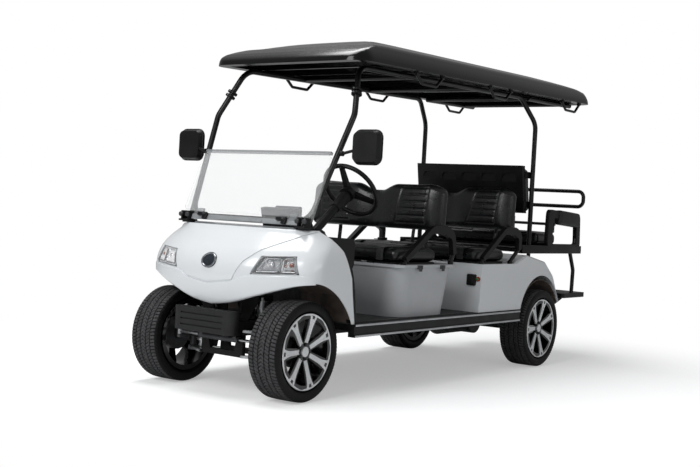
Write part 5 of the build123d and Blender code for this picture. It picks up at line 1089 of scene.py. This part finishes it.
def seat_arms():
    """Moulded sleeves on the bench arms: a rounded bar 30 mm thick whose depth swells from 34 mm at the feet
    to 56 mm at the bend, carried along the arm's line with its corners rounded: point = line + depth * x *
    lift."""
    section = rounded(1.0, 0.030, 0.011)
    parts = []
    for y, points in ARM_LOOPS:
        corners = np.array(points)
        bends = corner_arcs(corners[:-2], corners[1:-1], corners[2:], 0.030, 7)
        path = np.vstack([corners[0], bends, corners[-1]])
        ahead = np.gradient(path, axis=0)
        ahead /= np.linalg.norm(ahead, axis=1)[:, None]
        lift = np.column_stack([-ahead[:, 1], ahead[:, 0]])
        share = np.linspace(0, 1, len(path))
        depth = np.interp(share, [0, 0.1, 0.35, 0.6, 0.9, 1], [0.034, 0.038, 0.052, 0.056, 0.044, 0.036])
        spot = path[:, None] + (depth[:, None] * section[:, 0])[..., None] * lift[:, None]
        for side in (1, -1):
            across = np.broadcast_to(side * (y + 0.0005) + section[:, 1], spot.shape[:2])
            parts.append(rings(np.stack([spot[..., 0], across, spot[..., 1]], axis=-1)))
    make("seat_arm_sleeves", parts, "chassis", PLASTIC)


seat_arms()


def belts():
    """Lap belts lying on the two benches: webbing 48 mm wide and 2.4 mm thick over the front edge and along
    the top, with a tongue and a buckle, each at 0.40 m from the middle."""
    webbing = rounded(0.048, 0.0024, 0.001, 2)
    for name, body, front, back, _, low, high in CUSHIONS[:2]:
        line = smooth_line([
            (front + 0.0035, 0, low + 0.010), (front + 0.0035, 0, high - 0.030),
            (front - 0.006, 0, high - 0.004), (front - 0.035, 0, high + 0.0035),
            (front - 0.15, 0, high + 0.005), (back + 0.12, 0, high + 0.005), (back + 0.020, 0, high + 0.002),
        ], 60)
        straps, buckles = [], []
        for y in (0.400, -0.400):
            straps.append(carried(line + (0, y, 0), webbing, up=(-0.6, 0, 0.8)))
            buckles.append(block((back + 0.120, y, high + 0.0135), (0.070, 0.040, 0.016), 0.006, 0.003))
            buckles.append(block((back + 0.170, y, high + 0.0105), (0.040, 0.052, 0.004), 0.006, 0.001))
        row = name.split("_")[0]
        make(f"{row}_belt_webbing", straps, body, WEBBING)
        make(f"{row}_belt_buckles", buckles, body, PLASTIC)


belts()

# ---------------------------------------------------------------- lower front skirt

SKIRT_HALF = 0.562
CHIN_LINE = np.array([  # y, z of the skirt's foot
    (0, 0.4655), (0.145, 0.4885), (0.268, 0.5265), (0.400, 0.5675), (0.500, 0.5965), (SKIRT_HALF, 0.6060),
])
SKIRT_LINE = np.array([  # y, z of its top
    (0, 0.575), (0.100, 0.590), (0.150, 0.596), (0.172, 0.602), (0.200, 0.628), (0.258, 0.634),
    (0.500, 0.646), (SKIRT_HALF, 0.648),
])


def front_skirt():
    """The lower panel of the nose, 8.5 mm proud of it and 2.6 mm at its ends: at each y a closed section from
    the chin line up to the skirt line, rolled over at the foot and stepped back at the top."""
    y = SKIRT_HALF * np.sin(np.linspace(-1, 1, 97) * math.pi / 2)
    off = np.abs(y)
    low = through(CHIN_LINE[:, 0], CHIN_LINE[:, 1], off)
    high = np.interp(off, SKIRT_LINE[:, 0], SKIRT_LINE[:, 1])
    high = np.convolve(np.pad(high, 2, mode="edge"), np.ones(5) / 5, mode="valid")
    fade = 1 - 0.7 * ease(off, 0.40, SKIRT_HALF)
    foot, top = [(0, -0.016), (0, -0.004), (0.02, 0.0055)], [(0.98, 0.0072), (1.0, 0.004), (1.0, -0.004)]
    profile = foot + [(share, 0.0085) for share in np.linspace(0.06, 0.93, 12)] + top
    loops = [nose_skin(y, low + (high - low) * share, proud * fade) for share, proud in profile]
    make("front_skirt", [rings(np.stack(loops, axis=1))], "chassis", WHITE)


front_skirt()

# ---------------------------------------------------------------- roof

ROOF_FRONT, ROOF_REAR = fx(285), rx(760)
ROOF_HALF = 0.538
ROOF_CORNER = 0.110
ROOF_SKIN = 0.012
FLANGE = 0.078
ROOF_RISE = np.array([  # distance behind the front edge, height of the crown over the lower edge
    (0, 0), (0.004, 0.026), (0.030, 0.046), (0.080, 0.070), (0.200, 0.112), (0.400, 0.158),
    (0.700, 0.187), (1.500, 0.176), (2.600, 0.130), (2.850, 0.086), (2.905, 0.060), (2.930, 0.030),
])


def roof_low(x):
    """Height of the roof's lower edge: 1.784 m at the front to 1.856 m at the rear in a straight line."""
    return 1.784 + (ROOF_FRONT - x) / (ROOF_FRONT - ROOF_REAR) * 0.072


def roof_shell():
    """A moulded roof: height over the lower edge is the soft minimum (a + b - sqrt((a - b)^2 + k^2)) / 2 of a
    lengthwise crown a and a crosswise dome b; below, a flange 78 mm wide runs round an open underside, and
    the skin over it is 12 mm thick."""
    length = ROOF_FRONT - ROOF_REAR
    t = np.concatenate([[0, 0.003, 0.008, 0.018, 0.032, 0.050, 0.0775, 0.0785], np.linspace(0.10, 0.60, 22)])
    behind = np.concatenate([t, np.linspace(0.62, length - 0.62, 50), (length - t)[::-1]])
    x = ROOF_FRONT - behind
    end = np.minimum(behind, length - behind)
    turn = ROOF_CORNER - np.clip(end, 0, ROOF_CORNER)
    half = ROOF_HALF - ROOF_CORNER + np.sqrt(np.clip(ROOF_CORNER**2 - turn**2, 0, None))
    edge = roof_low(x)
    ends = (behind < 0.2) | (behind > 2.6)
    at, height = ROOF_RISE.T
    crown = np.where(ends, np.interp(behind, at, height), through(at, height, behind))

    def rise(y):
        away = half - np.abs(y)
        side = np.interp(away, [0, 0.004, 0.020, 0.042, 0.055], [0.0, 0.024, 0.056, 0.086, 0.098])
        dome = side + 0.098 * (1 - (np.abs(y) / np.maximum(half - 0.04, 1e-3)).clip(0, 1) ** 2)
        return (crown + dome - np.sqrt((crown - dome) ** 2 + 0.012**2)) / 2

    inward = np.array(
        [0, 0.003, 0.006, 0.012, 0.020, 0.030, 0.042, 0.056, 0.075, 0.10, 0.14, 0.19, 0.25, 0.32, 0.40, 0.47]
    )
    across = 1 - inward / ROOF_HALF
    rows = []
    for share in np.concatenate([-across, [0], across[::-1]]):
        y = share * half
        on_edge = (half - np.abs(y) < 0.002) | (end < 0.002)
        rows.append(np.stack([x, y, edge + np.where(on_edge, 0.0, np.maximum(rise(y), 0.004))], axis=-1))
    wide = np.minimum(ROOF_HALF - FLANGE, half - 0.002)
    across_under = [(s, True) for s in (1.0, 0.8, 0.5, 0.2, -0.2, -0.5, -0.8, -1.0)]
    for share, sunk in [(1.0, False), *across_under, (-1.0, False)]:
        y = share * wide
        under = np.maximum(rise(y) - ROOF_SKIN, 0.004) * sunk
        rows.append(np.stack([x, y, edge + np.where(end < FLANGE, 0.0, under)], axis=-1))
    made = make("roof_moulding", [rings(np.stack(rows, axis=1))], "chassis", ROOF)
    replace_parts(made, "roof")


roof_shell()

OVERHEAD_FRONT = fx(450)


def strut_clamps():
    """Split clamps on the front struts below the roof: two blocks round the tube, with a bolt head each."""
    parts, heads = [], []
    bolt = [(0.0003, 0.006), (0.005, 0.006), (0.0055, 0.004), (0.0055, -0.002)]
    top = np.array([OVERHEAD_FRONT, 0.405, roof_low(OVERHEAD_FRONT) - 0.0163])
    rise = (top - STRUT_BEND) / np.linalg.norm(top - STRUT_BEND)
    for side in (1, -1):
        up = rise * (1, side, 1)
        across = np.cross(up, (1, 0, 0))
        across /= np.linalg.norm(across)
        out = np.cross(across, up)
        for share in (0.42, 0.50):
            spot = (STRUT_BEND + (top - STRUT_BEND) * share) * (1, side, 1)
            parts.append(block(spot, (0.048, 0.050, 0.016), 0.012, 0.003, (across, out, up)))
            heads.append(turned(bolt, spot + 0.025 * out, out, across, 12))
    make("strut_clamps", parts, "chassis", PLASTIC)
    make("strut_clamp_bolts", heads, "chassis", ZINC)


strut_clamps()

# ---------------------------------------------------------------- rear seat frame


def rear_seat_sides():
    """Box rails under the rear seat and a flat moulded arm over each: the arm's outer and inner outlines are
    rounded polygons joined by faces 31 mm apart, with the outer edges chamfered."""
    middle = 0.480
    outer = outline_of([(232, 800), (240, 1074), (748, 1052), (768, 800)], 44, 6)  # mm behind the axle, mm up
    inner = outline_of([(300, 830), (312, 1014), (690, 1000), (704, 830)], 30, 6)
    face = outer.mean(axis=0) + (outer - outer.mean(axis=0)) * 0.994
    rim = [
        (inner, -0.012), (inner, 0.012), (inner, 0.0155), (face, 0.0155),
        (outer, 0.012), (outer, -0.012), (face, -0.0155), (inner, -0.0155),
    ]
    parts = []
    for side in (1, -1):
        rail = ((rx(-142) + rx(790)) / 2, side * middle, 0.790)
        parts.append(block(rail, (0.932, 0.034, 0.056), 0.004, 0.003))
        layers = [
            np.column_stack([rx(ring[:, 0]), np.full(len(ring), side * (middle + y)), ring[:, 1] / 1000])
            for ring, y in rim
        ]
        parts.append(rings(layers, closed=True))
    make("rear_seat_sides", parts, "chassis", PLASTIC)


rear_seat_sides()

# ---------------------------------------------------------------- floor, light, camera


def studio():
    """A pale floor that fades to white 1.7 to 3.3 m away, and an even white surround. Only camera rays, and
    rays through clear parts on the floor, see them white; both light the cart at a plain level."""
    size, below = 14.0, -0.0006
    floor = bpy.data.objects.new("studio_floor", bpy.data.meshes.new("studio_floor"))
    corners = [(x * size, y * size, below) for x, y in ((-1, -1), (1, -1), (1, 1), (-1, 1))]
    floor.data.from_pydata(corners, [], [(0, 1, 2, 3)])
    bpy.context.scene.collection.objects.link(floor)
    material, tree, place = blank("studio_paper")
    paper = put(tree, "ShaderNodeTexNoise", {"Vector": place, "Scale": 2.0, "Detail": 2.0})
    shades = {0: paper.outputs["Fac"], 6: colour("#E4E5E6"), 7: colour("#E2E3E4")}
    tint = put(tree, "ShaderNodeMix", shades, data_type="RGBA")
    matte = put(tree, "ShaderNodeBsdfDiffuse", {"Color": tint.outputs[2]})
    path = put(tree, "ShaderNodeLightPath").outputs
    rays = {0: path["Is Camera Ray"], 1: path["Is Transmission Ray"]}
    seen = put(tree, "ShaderNodeMath", rays, operation="MAXIMUM").outputs["Value"]
    level = put(tree, "ShaderNodeMath", {0: seen, 1: 0.36}, operation="MULTIPLY")
    glow = put(tree, "ShaderNodeEmission", {"Color": (1, 1, 1, 1), "Strength": level.outputs["Value"]})
    both = put(tree, "ShaderNodeAddShader", {0: matte.outputs["BSDF"], 1: glow.outputs["Emission"]})
    far = put(tree, "ShaderNodeVectorMath", {0: place}, operation="LENGTH")
    reach = {"Value": far.outputs["Value"], "From Min": 1.7, "From Max": 3.3}
    fade = put(tree, "ShaderNodeMapRange", reach, interpolation_type="SMOOTHSTEP")
    blend = put(tree, "ShaderNodeMath", {0: fade.outputs["Result"], 1: seen}, operation="MULTIPLY")
    white = put(tree, "ShaderNodeEmission", {"Color": (1, 1, 1, 1), "Strength": 1.0})
    shaders = {0: blend.outputs["Value"], 1: both.outputs["Shader"], 2: white.outputs["Emission"]}
    sheet = put(tree, "ShaderNodeMixShader", shaders)
    put(tree, "ShaderNodeOutputMaterial", {"Surface": sheet.outputs["Shader"]})
    floor.data.materials.append(material)

    world = bpy.data.worlds.new("studio_surround")
    bpy.context.scene.world = world
    world.use_nodes = True
    tree = world.node_tree
    tree.nodes.clear()
    camera_ray = put(tree, "ShaderNodeLightPath").outputs["Is Camera Ray"]
    level = put(tree, "ShaderNodeMapRange", {"Value": camera_ray, "To Min": 0.30, "To Max": 1.0})
    back = put(tree, "ShaderNodeBackground", {"Color": (1, 1, 1, 1), "Strength": level.outputs["Result"]})
    put(tree, "ShaderNodeOutputWorld", {"Surface": back.outputs["Background"]})


LAMPS = [  # name, place, aim, width, height, watts
    ("front_softbox", (6.5, 0.2, 3.8), (0.8, 0.0, 0.7), 3.5, 2.5, 190),
    ("top_softbox", (0.5, -0.8, 5.0), (0.3, 0.0, 0.5), 5.0, 2.4, 210),
    ("side_strip", (1.0, 6.0, 2.6), (0.0, 0.3, 0.8), 4.0, 1.0, 24),
]
LENS_LENGTH = 57.67  # mm, on a 36 mm sensor
CAMERA_PLACE = (6.048, 3.996, 0.998)
CAMERA_RIGHT = Vector((-0.5885, 0.8066, 0.0553))
CAMERA_UP = Vector((0.0149, -0.0576, 0.9982))
CAMERA_AHEAD = Vector((-0.8083, -0.5883, -0.0218))


def light_and_camera():
    """Three soft panels aimed at the cart and the camera's solved place."""
    for name, place, aim, width, height, watts in LAMPS:
        data = bpy.data.lights.new(name, "AREA")
        data.shape, data.size, data.size_y, data.energy = "RECTANGLE", width, height, watts
        lamp = bpy.data.objects.new(name, data)
        lamp.location = place
        lamp.rotation_mode = "QUATERNION"
        lamp.rotation_quaternion = (Vector(aim) - Vector(place)).to_track_quat("-Z", "Y")
        bpy.context.scene.collection.objects.link(lamp)
    data = bpy.data.cameras.new("studio_camera")
    data.sensor_width, data.lens, data.sensor_fit = 36.0, LENS_LENGTH, "HORIZONTAL"
    camera = bpy.data.objects.new("studio_camera", data)
    turn = Matrix((CAMERA_RIGHT, CAMERA_UP, -CAMERA_AHEAD)).transposed().to_4x4()
    turn.translation = CAMERA_PLACE
    camera.matrix_world = turn
    bpy.context.scene.collection.objects.link(camera)
    bpy.context.scene.camera = camera
    bpy.context.scene.view_settings.view_transform = "Standard"


studio()
light_and_camera()
